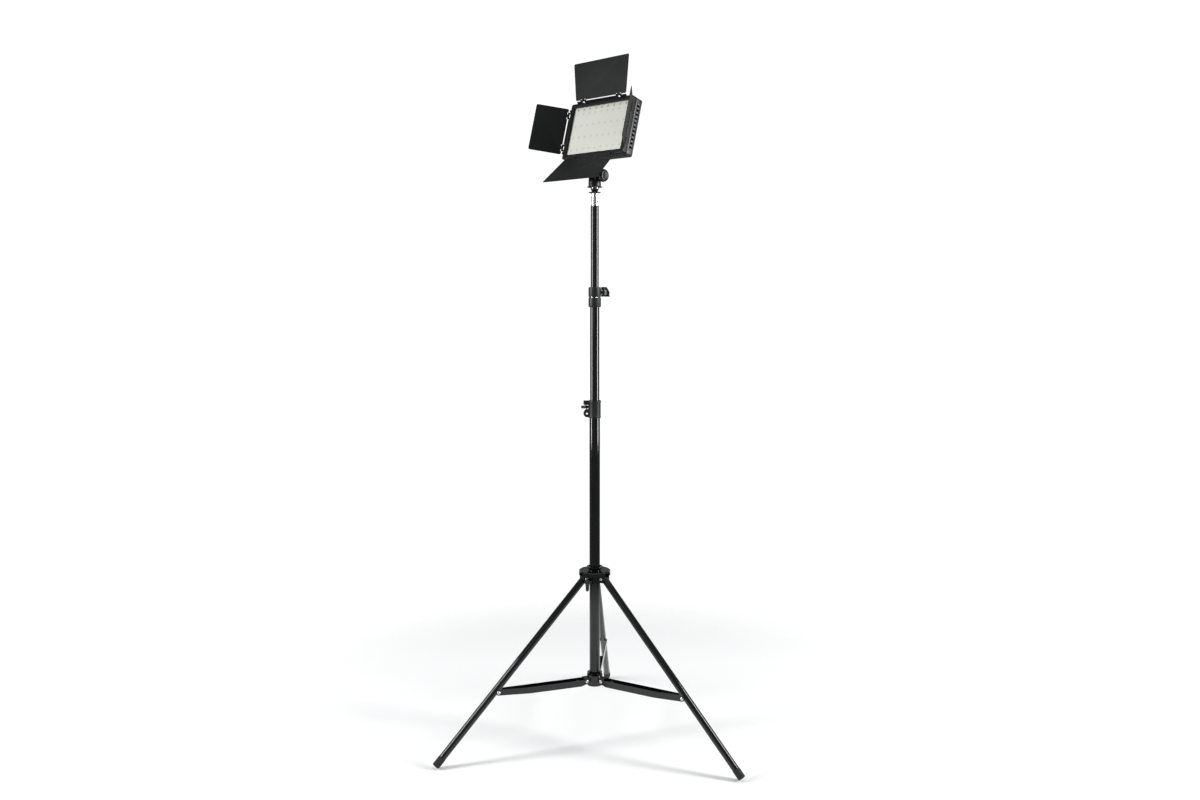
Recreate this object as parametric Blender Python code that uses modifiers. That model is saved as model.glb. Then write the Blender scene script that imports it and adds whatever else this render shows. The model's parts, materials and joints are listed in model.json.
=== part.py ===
"""LED panel light with four barn doors, on a tilting adapter and a folding three-section stand.

Metres, +Z up. The stand rests on Z = 0 and the origin is the middle of the footprint's box.
Leg 1 points to +Y. The panel is panned and tilted on the spigot, with its doors part open.
"""

import math

import bmesh
import bpy
from mathutils import Vector

MM = 0.001
GAP = 0.3 * MM

# Sides of small round parts
SMALL_STEPS = 12
PIN_STEPS = 8

# Column: three thin-walled tubes, each sliding in the one below it
TUBE_WALL = 1.2 * MM
LOWER_R = 12.5 * MM
MIDDLE_R = 11.0 * MM
UPPER_R = 9.5 * MM
LOWER_BOTTOM = 139.5 * MM
LOWER_TOP = 822.0 * MM
MIDDLE_BOTTOM = 410.0 * MM
MIDDLE_TOP = 1086.0 * MM
UPPER_BOTTOM = 657.0 * MM
UPPER_TOP = 1277.0 * MM

# Folding base
LEG_AZIMUTHS = [math.radians(a) for a in (90, 210, 330)]
LEG_R = 8.5 * MM
LEG_WALL = 1.2 * MM
LEG_LENGTH = 545.0 * MM
LEG_SPREAD = math.radians(43.3)
LEG_TOP = 6.0 * MM
FOOT_R = 9.0 * MM
FOOT_HEIGHT = 24.0 * MM
LEG_PIVOT_R = 26.0 * MM
LEG_PIVOT_Z = LEG_LENGTH * math.cos(LEG_SPREAD) + FOOT_R * math.sin(LEG_SPREAD)
BRACE_ON_LEG = 331.0 * MM
BRACE_PIVOT_INSET = 5.0 * MM
BRACE_PIVOT_R = 25.0 * MM
BRACE_PIVOT_Z = 150.0 * MM

# The footprint's box is centred on the origin, so the column stands forward of it
FOOT_REACH = LEG_PIVOT_R + LEG_LENGTH * math.sin(LEG_SPREAD)
REAR_REACH = FOOT_REACH + FOOT_R * math.cos(LEG_SPREAD)
FRONT_REACH = FOOT_REACH / 2 + FOOT_R * math.hypot(0.5 * math.cos(LEG_SPREAD), math.cos(math.radians(30)))
COLUMN_Y = -(REAR_REACH - FRONT_REACH) / 2

# Brace channel
BRACE_INNER_HALF = 9.3 * MM
BRACE_SHEET = 1.2 * MM
BRACE_UP = 3.8 * MM
BRACE_DOWN = 11.2 * MM
BRACE_WEB_START = 14.0 * MM
BRACE_WEB_END = 146.0 * MM
BRACE_END_R = 6.5 * MM
RIVET_R = 2.5 * MM

# Hubs
HUB_BORE = LOWER_R + GAP
HUB_RIM_R = 37.5 * MM
HUB_BOSS_R = 19.0 * MM
HUB_TOP = LEG_PIVOT_Z + 16.2 * MM
HUB_RIM_BOTTOM = LEG_PIVOT_Z + 4.8 * MM
HUB_BOTTOM = LEG_PIVOT_Z - 13.8 * MM
HUB_SLOT_HALF = 9.0 * MM
HUB_EAR_HALF = 12.0 * MM
LOWER_HUB_R = 19.0 * MM
LOWER_HUB_BOTTOM = 136.0 * MM
LOWER_HUB_TOP = 162.0 * MM
LUG_HALF = 8.0 * MM
LOCK_AZIMUTH = math.radians(250)
LOCK_Z = LEG_PIVOT_Z - 5.0 * MM

# Column clamps
CLAMP_R = 14.7 * MM
LOWER_CLAMP_Z = 785.0 * MM
LOWER_CLAMP_H = 41.0 * MM
UPPER_CLAMP_Z = 1044.5 * MM
UPPER_CLAMP_H = 46.0 * MM
LOWER_CLAMP_TURN = math.radians(185)
UPPER_CLAMP_TURN = math.radians(5)
CLAMP_PIN_X = 20.5 * MM
CLAMP_PIN_R = 1.6 * MM
CLAMP_KNUCKLE_R = 5.4 * MM

# Spigot and tilting adapter
SPIGOT_R = 8.0 * MM
SPIGOT_TOP = 1306.0 * MM
STUD_R = 3.1 * MM
TILT_Z = 1344.0 * MM
PAN_ANGLE = math.radians(-40)
TILT_ANGLE = math.radians(-15)
EAR_INNER = 5.2 * MM
EAR_OUTER = 12.0 * MM
KNUCKLE_R = 8.5 * MM
BOLT_R = 2.5 * MM
KNOB_R = 14.7 * MM

# Lamp head, measured from the tilt axis
HEAD_W = 197.0 * MM
HEAD_H = 134.5 * MM
HEAD_BOTTOM = 40.0 * MM
HEAD_MID = HEAD_BOTTOM + HEAD_H / 2
HEAD_FRONT = -23.0 * MM
BEZEL_DEPTH = 14.0 * MM
BEZEL_BORDER = 10.0 * MM
WINDOW_RECESS = 5.0 * MM
HOUSING_BACK = 7.0 * MM
COVER_BACK = 10.3 * MM
SIDE_VENTS = 11
VENT_PITCH = 9.6 * MM
CONTROL_X = 72.0 * MM

# Barn doors
DOOR_SHEET = 1.2 * MM
DOOR_SLIT = 3.4 * MM
DOOR_EDGE = 0.9 * MM
DOOR_NOTCH_HALF = 8.4 * MM
HINGE_OUT = 3.2 * MM
BARREL_R = 2.5 * MM
BARREL_HALF = 4.0 * MM
HINGE_PIN_R = 1.0 * MM
HINGE_BORE = 1.3 * MM
LUG_THICK = 3.4 * MM
LUG_R = 2.1 * MM
LUG_REACH = 9.2 * MM
WIDE_DOOR_HINGES = 57.0 * MM
SIDE_DOOR_HINGES = 39.0 * MM
WIDE_AXIS_Y = HEAD_FRONT - 5.0 * MM
SIDE_AXIS_Y = HEAD_FRONT - 2.0 * MM


def clear_scene():
    for thing in list(bpy.data.objects):
        bpy.data.objects.remove(thing, do_unlink=True)


def make_collection(name):
    group = bpy.data.collections.new(name)
    bpy.context.scene.collection.children.link(group)
    return group


clear_scene()
PARTS = make_collection("led_panel_light")
CUTTERS = make_collection("cutters")


def make_material(name, colour, roughness, metallic=0.0):
    material = bpy.data.materials.new(name)
    material.use_nodes = True
    shader = material.node_tree.nodes["Principled BSDF"]
    shader.inputs["Base Color"].default_value = (*colour, 1.0)
    shader.inputs["Roughness"].default_value = roughness
    shader.inputs["Metallic"].default_value = metallic
    return material


GLOSS_BLACK = make_material("gloss_black_paint", (0.010, 0.011, 0.011), 0.16)
BLACK_PLASTIC = make_material("black_plastic", (0.018, 0.019, 0.020), 0.42)
CLAMP_PLASTIC = make_material("clamp_plastic", (0.030, 0.032, 0.033), 0.38)
SHEET_BLACK = make_material("door_paint", (0.022, 0.024, 0.024), 0.55)
RUBBER = make_material("rubber", (0.014, 0.014, 0.014), 0.75)
STEEL = make_material("bright_steel", (0.78, 0.78, 0.77), 0.18, 1.0)
BLACK_STEEL = make_material("black_steel", (0.05, 0.05, 0.05), 0.35, 1.0)
DIFFUSER = make_material("diffuser", (0.68, 0.69, 0.62), 0.45)
BOARD = make_material("circuit_board", (0.75, 0.76, 0.72), 0.5)
GREEN_BOARD = make_material("green_circuit_board", (0.02, 0.12, 0.05), 0.45)


def make_empty(name, location=(0, 0, 0), rotation=(0, 0, 0), parent=None):
    empty = bpy.data.objects.new(name, None)
    empty.empty_display_size = 0.02
    empty.location = location
    empty.rotation_euler = rotation
    empty.parent = parent
    PARTS.objects.link(empty)
    return empty


def place(piece, material, parent, location=(0, 0, 0), rotation=(0, 0, 0)):
    """Gives a piece its material and its place under its parent."""
    piece.data.materials.append(material)
    piece.parent = parent
    piece.location = location
    piece.rotation_euler = rotation
    return piece


def add_mesh_object(name, mesh):
    piece = bpy.data.objects.new(name, mesh)
    PARTS.objects.link(piece)
    return piece


def block(name, low, high, bevel=0.0):
    """A box between two corners, in its own frame, with optional rounded edges."""
    mesh = bpy.data.meshes.new(name)
    shape = bmesh.new()
    bmesh.ops.create_cube(shape, size=1.0)
    size = [b - a for a, b in zip(low, high)]
    middle = [(a + b) / 2 for a, b in zip(low, high)]
    bmesh.ops.scale(shape, vec=size, verts=shape.verts)
    bmesh.ops.translate(shape, vec=middle, verts=shape.verts)
    shape.to_mesh(mesh)
    shape.free()
    piece = add_mesh_object(name, mesh)
    if bevel:
        rounding = piece.modifiers.new("edges", "BEVEL")
        rounding.width = bevel
        rounding.segments = 2
    return piece


def turned(name, profile, steps=32, hollow=False):
    """A profile of (radius, height) points turned about Z, listed top to bottom on the outside."""
    mesh = bpy.data.meshes.new(name)
    points = [(radius, 0.0, height) for radius, height in profile]
    edges = [(i, i + 1) for i in range(len(points) - 1)]
    if hollow:
        edges.append((len(points) - 1, 0))
    mesh.from_pydata(points, edges, [])
    piece = add_mesh_object(name, mesh)
    screw = piece.modifiers.new("turn", "SCREW")
    screw.steps = steps
    screw.render_steps = steps
    screw.use_merge_vertices = True
    screw.merge_threshold = 0.00001
    screw.use_smooth_shade = True
    return piece


def tube_profile(outer, inner, bottom, top):
    return [(outer, top), (outer, bottom), (inner, bottom), (inner, top)]


def rod_profile(radius, bottom, top):
    return [(0.0, top), (radius, top), (radius, bottom), (0.0, bottom)]


def flat(name, outline, thickness):
    """A closed outline in XY, filled and made thick about Z = 0, as a welded mesh."""
    curve = bpy.data.curves.new(name, "CURVE")
    curve.dimensions = "2D"
    curve.fill_mode = "BOTH"
    curve.extrude = thickness / 2
    spline = curve.splines.new("POLY")
    spline.points.add(len(outline) - 1)
    for point, (x, y) in zip(spline.points, outline):
        point.co = (x, y, 0.0, 1.0)
    spline.use_cyclic_u = True
    guide = bpy.data.objects.new(name + "_outline", curve)
    PARTS.objects.link(guide)
    bpy.context.view_layer.update()
    mesh = bpy.data.meshes.new_from_object(guide.evaluated_get(bpy.context.evaluated_depsgraph_get()))
    bpy.data.objects.remove(guide, do_unlink=True)
    weld = bmesh.new()
    weld.from_mesh(mesh)
    bmesh.ops.remove_doubles(weld, verts=weld.verts, dist=0.00001)
    bmesh.ops.dissolve_limit(weld, angle_limit=math.radians(1), verts=weld.verts, edges=weld.edges)
    bmesh.ops.recalc_face_normals(weld, faces=weld.faces)
    weld.to_mesh(mesh)
    weld.free()
    return add_mesh_object(name, mesh)


def arc(centre, radius, start, end, count):
    """Points on an arc, with start and end angles in degrees."""
    step = (end - start) / count
    angles = [math.radians(start + step * i) for i in range(count + 1)]
    return [(centre[0] + radius * math.cos(a), centre[1] + radius * math.sin(a)) for a in angles]


def rounded_rectangle(half_width, half_height, radius, count=4):
    outline = []
    for turn, (sx, sy) in enumerate(((1, 1), (-1, 1), (-1, -1), (1, -1))):
        corner = (sx * (half_width - radius), sy * (half_height - radius))
        outline += arc(corner, radius, 90 * turn, 90 * turn + 90, count)
    return outline


def combine(piece, tool, operation):
    """Keeps a Boolean of the piece with a tool that shares its parent, and hides the tool."""
    for group in list(tool.users_collection):
        group.objects.unlink(tool)
    CUTTERS.objects.link(tool)
    tool.hide_render = True
    tool.display_type = "WIRE"
    boolean = piece.modifiers.new(operation.lower(), "BOOLEAN")
    boolean.operation = operation
    boolean.solver = "EXACT"
    boolean.object = tool


def cut(piece, tool, parent, location=(0, 0, 0), rotation=(0, 0, 0)):
    tool.parent = parent
    tool.location = location
    tool.rotation_euler = rotation
    combine(piece, tool, "DIFFERENCE")


def join(piece, tool, parent, location=(0, 0, 0), rotation=(0, 0, 0)):
    tool.parent = parent
    tool.location = location
    tool.rotation_euler = rotation
    combine(piece, tool, "UNION")


def rivet_profile(shank, half_grip, head=4.0 * MM, head_height=1.2 * MM):
    """A rivet along Z with a head outside each side of what it holds."""
    inner = half_grip + GAP
    outer = inner + head_height
    return [
        (0.0, outer), (head * 0.75, outer), (head, inner), (shank, inner),
        (shank, -inner), (head, -inner), (head * 0.75, -outer), (0.0, -outer),
    ]


# ---------------------------------------------------------------- column

def build_column(column):
    tubes = (
        ("lower_tube", LOWER_R, LOWER_BOTTOM, LOWER_TOP),
        ("middle_tube", MIDDLE_R, MIDDLE_BOTTOM, MIDDLE_TOP),
        ("upper_tube", UPPER_R, UPPER_BOTTOM, UPPER_TOP),
    )
    for name, radius, bottom, top in tubes:
        tube = turned(name, tube_profile(radius, radius - TUBE_WALL, bottom, top), 32, True)
        place(tube, GLOSS_BLACK, column)


def clamp_collar(name, height, outer_tube, inner_tube, seat, waist):
    """A collar that grips the top of one tube and closes on the tube that slides in it."""
    bore = outer_tube + GAP
    lip = inner_tube + GAP
    profile = [(CLAMP_R - 0.8 * MM, height), (CLAMP_R, height - 0.8 * MM)]
    if waist:
        groove = CLAMP_R - 1.2 * MM
        profile += [(CLAMP_R, waist + 1.2 * MM), (groove, waist + 0.8 * MM)]
        profile += [(groove, waist - 0.8 * MM), (CLAMP_R, waist - 1.2 * MM)]
    profile += [(CLAMP_R, 0.8 * MM), (CLAMP_R - 0.8 * MM, 0.0), (bore, 0.0)]
    profile += [(bore, seat), (lip, seat), (lip, height)]
    return turned(name, profile, 28, True)


def pin_hole(name, bottom, top):
    return turned(name, rod_profile(CLAMP_PIN_R + GAP, bottom, top), 12)


def build_lower_clamp(column):
    base = make_empty("lower_clamp", (0, 0, LOWER_CLAMP_Z), (0, 0, LOWER_CLAMP_TURN), column)
    seat = LOWER_TOP + GAP - LOWER_CLAMP_Z
    collar = clamp_collar("lower_clamp_collar", LOWER_CLAMP_H, LOWER_R, MIDDLE_R, seat, 0.0)
    place(collar, CLAMP_PLASTIC, base)
    top_lug = block("lower_clamp_top_lug", (13.5 * MM, -5 * MM, 30.5 * MM), (26.5 * MM, 5 * MM, 40.5 * MM))
    join(collar, top_lug, base)
    loop = flat("lower_clamp_loop", arc((17 * MM, 10.5 * MM), 9.6 * MM, -114, 114, 12), 7 * MM)
    join(collar, loop, base, rotation=(math.radians(90), 0, 0))
    eye = turned("lower_clamp_eye", rod_profile(2.5 * MM, -9 * MM, 9 * MM), 16)
    cut(collar, eye, base, (18.3 * MM, 0, 9.5 * MM), (math.radians(90), 0, 0))
    cut(collar, pin_hole("lower_clamp_pin_hole", 14.5 * MM, 38.5 * MM), base, (CLAMP_PIN_X, 0, 0))
    pin = turned("lower_clamp_pin", rod_profile(CLAMP_PIN_R, 15 * MM, 38 * MM), 12)
    place(pin, STEEL, base, (CLAMP_PIN_X, 0, 0))
    blade = arc((0, 0), CLAMP_KNUCKLE_R, 35, 325, 10) + [(11.5 * MM, -0.8 * MM), (11.5 * MM, 0.8 * MM)]
    lever = flat("lower_clamp_lever", blade, 5.4 * MM)
    place(lever, CLAMP_PLASTIC, base, (CLAMP_PIN_X, 0, 25.2 * MM))
    cut(lever, pin_hole("lower_lever_bore", -9 * MM, 9 * MM), base, (CLAMP_PIN_X, 0, 25.2 * MM))


def build_upper_clamp(column):
    base = make_empty("upper_clamp", (0, 0, UPPER_CLAMP_Z), (0, 0, UPPER_CLAMP_TURN), column)
    seat = MIDDLE_TOP + GAP - UPPER_CLAMP_Z
    collar = clamp_collar("upper_clamp_collar", UPPER_CLAMP_H, MIDDLE_R, UPPER_R, seat, 22.5 * MM)
    place(collar, CLAMP_PLASTIC, base)
    lug = block("upper_clamp_lug", (13.5 * MM, -4.2 * MM, 30 * MM), (24 * MM, 4.2 * MM, 38 * MM))
    join(collar, lug, base)
    cut(collar, pin_hole("upper_clamp_pin_hole", 25 * MM, 42 * MM), base, (CLAMP_PIN_X, 0, 0))
    pin = turned("upper_clamp_pin", rod_profile(CLAMP_PIN_R, 25 * MM, 43 * MM), 12)
    place(pin, STEEL, base, (CLAMP_PIN_X, 0, 0))
    outline = [
        (0.0, 24 * MM), (15 * MM, 24 * MM), (15 * MM, 31 * MM), (12.5 * MM, 38 * MM),
        (7 * MM, 46.5 * MM), (0.0, 46.5 * MM),
    ]
    lever = flat("upper_clamp_lever", outline, 8.4 * MM)
    for corner in lever.data.vertices:
        corner.co = Vector((corner.co.x, -corner.co.z, corner.co.y))
    place(lever, CLAMP_PLASTIC, base, (CLAMP_PIN_X, 0, 0))
    knuckle = turned("upper_lever_knuckle", rod_profile(CLAMP_KNUCKLE_R, 24 * MM, 46.5 * MM), 24)
    join(lever, knuckle, base, (CLAMP_PIN_X, 0, 0))
    fork = block("upper_lever_fork", (-9 * MM, -9 * MM, 29.6 * MM), (6.2 * MM, 9 * MM, 38.4 * MM))
    cut(lever, fork, base, (CLAMP_PIN_X, 0, 0))
    cut(lever, pin_hole("upper_lever_bore", 24.7 * MM, 43.3 * MM), base, (CLAMP_PIN_X, 0, 0))


# ---------------------------------------------------------------- folding base

def build_upper_hub(column):
    profile = [
        (HUB_RIM_R - 1.5 * MM, HUB_TOP), (HUB_RIM_R, HUB_TOP - 1.5 * MM), (HUB_RIM_R, HUB_RIM_BOTTOM),
        (HUB_BOSS_R, HUB_RIM_BOTTOM), (HUB_BOSS_R, HUB_BOTTOM), (HUB_BORE, HUB_BOTTOM), (HUB_BORE, HUB_TOP),
    ]
    hub = place(turned("upper_hub", profile, 36, True), GLOSS_BLACK, column)
    for number, azimuth in enumerate(LEG_AZIMUTHS, 1):
        turn = (0, 0, azimuth)
        ear_low = (14.5 * MM, -HUB_EAR_HALF, LEG_PIVOT_Z - 10 * MM)
        ear_high = (34 * MM, HUB_EAR_HALF, HUB_TOP - 3 * MM)
        join(hub, block("hub_ears_%d" % number, ear_low, ear_high), column, rotation=turn)
    for number, azimuth in enumerate(LEG_AZIMUTHS, 1):
        turn = (0, 0, azimuth)
        slot_low = (15.4 * MM, -HUB_SLOT_HALF, HUB_BOTTOM - 9 * MM)
        slot_high = (45 * MM, HUB_SLOT_HALF, HUB_TOP - 4 * MM)
        cut(hub, block("hub_slot_%d" % number, slot_low, slot_high), column, rotation=turn)
        bore = turned("hub_bore_%d" % number, rod_profile(RIVET_R + GAP, -13 * MM, 13 * MM), SMALL_STEPS)
        pivot = Vector((LEG_PIVOT_R * math.cos(azimuth), LEG_PIVOT_R * math.sin(azimuth), LEG_PIVOT_Z))
        cut(hub, bore, column, pivot, (math.radians(90), 0, azimuth))
    screw_hole = turned("hub_screw_hole", rod_profile(4.3 * MM, 11 * MM, 24 * MM), 16)
    cut(hub, screw_hole, column, (0, 0, LOCK_Z), (0, math.radians(90), LOCK_AZIMUTH))


def build_hub_lock(column):
    """A thumb screw through the hub's boss, with one wing that hangs down."""
    base = make_empty("hub_lock", (0, 0, LOCK_Z), (0, 0, LOCK_AZIMUTH), column)
    profile = [(0.0, 44 * MM), (5.6 * MM, 44 * MM), (6.6 * MM, 43 * MM), (6.6 * MM, 38.5 * MM), (4 * MM, 38.2 * MM)]
    profile += [(4 * MM, 13.2 * MM), (0.0, 13.2 * MM)]
    knob = place(turned("hub_lock_knob", profile, 20), CLAMP_PLASTIC, base, rotation=(0, math.radians(90), 0))
    tip = arc((0, -18 * MM), 3.6 * MM, 180, 360, 6)
    wing = flat("hub_lock_wing", tip + [(5 * MM, -2 * MM), (-5 * MM, -2 * MM)], 4.0 * MM)
    join(knob, wing, base, (41.2 * MM, 0, 0), (math.radians(90), 0, math.radians(90)))


def build_lower_hub(column):
    floor_top = LOWER_BOTTOM - GAP
    profile = [
        (0.0, floor_top), (HUB_BORE, floor_top), (HUB_BORE, LOWER_HUB_TOP),
        (LOWER_HUB_R - 1 * MM, LOWER_HUB_TOP), (LOWER_HUB_R, LOWER_HUB_TOP - 1 * MM),
        (LOWER_HUB_R, LOWER_HUB_BOTTOM), (0.0, LOWER_HUB_BOTTOM),
    ]
    hub = place(turned("lower_hub", profile, 32), GLOSS_BLACK, column)
    for number, azimuth in enumerate(LEG_AZIMUTHS, 1):
        lug_low = (15 * MM, -LUG_HALF, BRACE_PIVOT_Z - 8 * MM)
        lug_high = (31 * MM, LUG_HALF, BRACE_PIVOT_Z + 7 * MM)
        join(hub, block("brace_lug_%d" % number, lug_low, lug_high), column, rotation=(0, 0, azimuth))
    for number, azimuth in enumerate(LEG_AZIMUTHS, 1):
        bore = turned("lug_bore_%d" % number, rod_profile(RIVET_R + GAP, -9 * MM, 9 * MM), SMALL_STEPS)
        pivot = Vector((BRACE_PIVOT_R * math.cos(azimuth), BRACE_PIVOT_R * math.sin(azimuth), BRACE_PIVOT_Z))
        cut(hub, bore, column, pivot, (math.radians(90), 0, azimuth))


def build_leg(number, azimuth, column):
    """A tube leg along its own -Z, hung on the upper hub, with a rubber foot."""
    spot = (LEG_PIVOT_R * math.cos(azimuth), LEG_PIVOT_R * math.sin(azimuth), LEG_PIVOT_Z)
    pivot = make_empty("leg_pivot_%d" % number, spot, (0, -LEG_SPREAD, azimuth), column)
    bottom = -LEG_LENGTH + 4 * MM
    leg = turned("leg_%d" % number, tube_profile(LEG_R, LEG_R - LEG_WALL, bottom, LEG_TOP), 24, True)
    place(leg, GLOSS_BLACK, pivot)
    bore = turned("leg_bore_%d" % number, rod_profile(RIVET_R + GAP, -11 * MM, 11 * MM), SMALL_STEPS)
    cut(leg, bore, pivot, rotation=(math.radians(90), 0, 0))
    mouth = -LEG_LENGTH + FOOT_HEIGHT
    floor = -LEG_LENGTH + 3.5 * MM
    inside = LEG_R + 0.2 * MM
    profile = [
        (0.0, floor), (inside, floor), (inside, mouth), (FOOT_R, mouth), (FOOT_R, -LEG_LENGTH),
        (0.0, -LEG_LENGTH),
    ]
    place(turned("foot_%d" % number, profile, 24), RUBBER, pivot)
    pin = turned("leg_rivet_%d" % number, rivet_profile(RIVET_R, HUB_EAR_HALF), SMALL_STEPS)
    place(pin, STEEL, column, spot, (math.radians(90), 0, azimuth))


def build_brace(number, azimuth, column):
    """A steel channel, open upward, that straddles the lower hub's lug and the leg."""
    far_r = LEG_PIVOT_R + BRACE_ON_LEG * math.sin(LEG_SPREAD) - BRACE_PIVOT_INSET * math.cos(LEG_SPREAD)
    far_z = LEG_PIVOT_Z - BRACE_ON_LEG * math.cos(LEG_SPREAD) - BRACE_PIVOT_INSET * math.sin(LEG_SPREAD)
    run, rise = far_r - BRACE_PIVOT_R, far_z - BRACE_PIVOT_Z
    length, slope = math.hypot(run, rise), math.atan2(rise, run)
    spot = (BRACE_PIVOT_R * math.cos(azimuth), BRACE_PIVOT_R * math.sin(azimuth), BRACE_PIVOT_Z)
    pivot = make_empty("brace_pivot_%d" % number, spot, (0, -slope, azimuth), column)
    # side view of the channel, in X (along it) and Y (up)
    outline = arc((0, 0), BRACE_END_R, 140, 250, 5)
    outline += [(BRACE_WEB_START, -BRACE_DOWN), (BRACE_WEB_END, -BRACE_DOWN)]
    outline += arc((length, 0), BRACE_END_R, -80, 60, 7)
    outline += [(length - 12 * MM, BRACE_UP), (8 * MM, BRACE_UP)]
    brace = flat("brace_%d" % number, outline, 2 * (BRACE_INNER_HALF + BRACE_SHEET))
    for corner in brace.data.vertices:
        corner.co = Vector((corner.co.x, -corner.co.z, corner.co.y))
    place(brace, GLOSS_BLACK, pivot)
    web_top = -BRACE_DOWN + BRACE_SHEET
    hollow = (
        ((BRACE_WEB_START - 1 * MM, web_top), (BRACE_WEB_END + 1 * MM, 30 * MM)),
        ((-30 * MM, -30 * MM), (BRACE_WEB_START, 30 * MM)),
        ((BRACE_WEB_END, -30 * MM), (length + 30 * MM, 30 * MM)),
    )
    for index, (low, high) in enumerate(hollow, 1):
        tool_low = (low[0], -BRACE_INNER_HALF, low[1])
        tool_high = (high[0], BRACE_INNER_HALF, high[1])
        cut(brace, block("channel_%d_%d" % (number, index), tool_low, tool_high), pivot)
    for index, x in enumerate((0.0, length), 1):
        bore = turned("brace_bore_%d_%d" % (number, index), rod_profile(RIVET_R + GAP, -15 * MM, 15 * MM), SMALL_STEPS)
        cut(brace, bore, pivot, (x, 0, 0), (math.radians(90), 0, 0))
    grip = BRACE_INNER_HALF + BRACE_SHEET
    pin = turned("hub_rivet_%d" % number, rivet_profile(RIVET_R, grip), SMALL_STEPS)
    place(pin, STEEL, column, spot, (math.radians(90), 0, azimuth))
    # the rivet at the leg stays in the channel's near wall, clear of the leg tube
    outer = BRACE_INNER_HALF + BRACE_SHEET + GAP
    head = [(0.0, outer + 1.2 * MM), (2.8 * MM, outer + 1.2 * MM), (4 * MM, outer + 0.4 * MM), (4 * MM, outer)]
    head += [(RIVET_R, outer), (RIVET_R, BRACE_INNER_HALF + 0.1 * MM), (0.0, BRACE_INNER_HALF + 0.1 * MM)]
    side = 1 if number == 2 else -1
    rivet = turned("brace_rivet_%d" % number, head, SMALL_STEPS)
    place(rivet, STEEL, pivot, (length, 0, 0), (math.radians(-90 * side), 0, 0))


# ---------------------------------------------------------------- spigot and adapter

def build_spigot(column):
    seat = UPPER_TOP - 16 * MM
    profile = [
        (0.0, SPIGOT_TOP + 11 * MM), (STUD_R, SPIGOT_TOP + 11 * MM), (STUD_R, SPIGOT_TOP),
        (SPIGOT_R - 1 * MM, SPIGOT_TOP), (SPIGOT_R, SPIGOT_TOP - 1 * MM), (SPIGOT_R, SPIGOT_TOP - 4 * MM),
        (SPIGOT_R - 2.2 * MM, SPIGOT_TOP - 5 * MM), (SPIGOT_R - 2.2 * MM, SPIGOT_TOP - 7 * MM),
        (SPIGOT_R, SPIGOT_TOP - 8 * MM), (SPIGOT_R, SPIGOT_TOP - 19 * MM),
        (SPIGOT_R - 1.2 * MM, SPIGOT_TOP - 20 * MM), (SPIGOT_R - 1.2 * MM, SPIGOT_TOP - 22 * MM),
        (SPIGOT_R, SPIGOT_TOP - 23 * MM), (SPIGOT_R, seat), (0.0, seat),
    ]
    place(turned("top_spigot", profile, 24), STEEL, column)
    low, high = SPIGOT_TOP + GAP, SPIGOT_TOP + 1.9 * MM
    rim, bore = 14.0 * MM, STUD_R + GAP
    wheel = turned("lock_wheel", tube_profile(rim, bore, low, high), 32, True)
    place(wheel, BLACK_STEEL, column)


def build_adapter(pan):
    """Base that turns on the stud, with two ears for the tilt bolt. Heights are from the tilt axis."""
    profile = [
        (0.0, -9 * MM), (14.5 * MM, -9 * MM), (14.5 * MM, -23 * MM), (17.4 * MM, -23.6 * MM),
        (17.4 * MM, -25.4 * MM), (9.4 * MM, -26 * MM), (8.6 * MM, -31 * MM), (6.6 * MM, -35.8 * MM),
        (STUD_R + GAP, -35.8 * MM), (STUD_R + GAP, -20 * MM), (0.0, -20 * MM),
    ]
    base = place(turned("adapter_base", profile, 28), BLACK_PLASTIC, pan)
    cheek = arc((0, 0), KNUCKLE_R, 0, 180, 8) + [(-KNUCKLE_R, -12 * MM), (KNUCKLE_R, -12 * MM)]
    ear_middle = (EAR_INNER + EAR_OUTER) / 2
    upright = (math.radians(90), 0, math.radians(90))
    for side, name in ((-1, "left_ear"), (1, "right_ear")):
        ear = flat(name, cheek, EAR_OUTER - EAR_INNER)
        join(base, ear, pan, (side * ear_middle, 0, 0), upright)
    bore = turned("ear_bore", rod_profile(BOLT_R + GAP, -16 * MM, 16 * MM), 16)
    cut(base, bore, pan, rotation=(0, math.radians(90), 0))


def build_tilt_parts(tilt):
    along_axis = (0, math.radians(90), 0)
    upright = (math.radians(90), 0, math.radians(90))
    neck = arc((0, 0), KNUCKLE_R, 140, 400, 12) + [(6.5 * MM, 35.4 * MM), (-6.5 * MM, 35.4 * MM)]
    arm = flat("tilt_arm", neck, 2 * EAR_INNER - 2 * GAP)
    place(arm, BLACK_PLASTIC, tilt, rotation=upright)
    bore = turned("arm_bore", rod_profile(BOLT_R + GAP, -9 * MM, 9 * MM), 16)
    cut(arm, bore, tilt, rotation=along_axis)
    foot = block("head_foot", (-21 * MM, -17 * MM, 35.7 * MM), (21 * MM, 15 * MM, HEAD_BOTTOM - GAP), 1.2 * MM)
    place(foot, BLACK_PLASTIC, tilt)
    bolt_profile = [(0.0, 26 * MM), (BOLT_R, 26 * MM), (BOLT_R, -EAR_OUTER - GAP), (4.6 * MM, -EAR_OUTER - GAP)]
    bolt_profile += [(4.6 * MM, -16 * MM), (0.0, -16 * MM)]
    place(turned("tilt_bolt", bolt_profile, 16), STEEL, tilt, rotation=along_axis)
    near, bore_r = EAR_OUTER + GAP, BOLT_R + GAP
    profile = [
        (0.0, 34 * MM), (KNOB_R - 4 * MM, 34 * MM), (KNOB_R - 1 * MM, 32.5 * MM), (KNOB_R, 29.5 * MM),
        (KNOB_R, 24 * MM), (KNOB_R - 1.5 * MM, 22 * MM), (8 * MM, 21 * MM), (7 * MM, near), (bore_r, near),
        (bore_r, 26.4 * MM), (0.0, 26.4 * MM),
    ]
    place(turned("tilt_knob", profile, 28), BLACK_PLASTIC, tilt, rotation=along_axis)


# ---------------------------------------------------------------- lamp head

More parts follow.
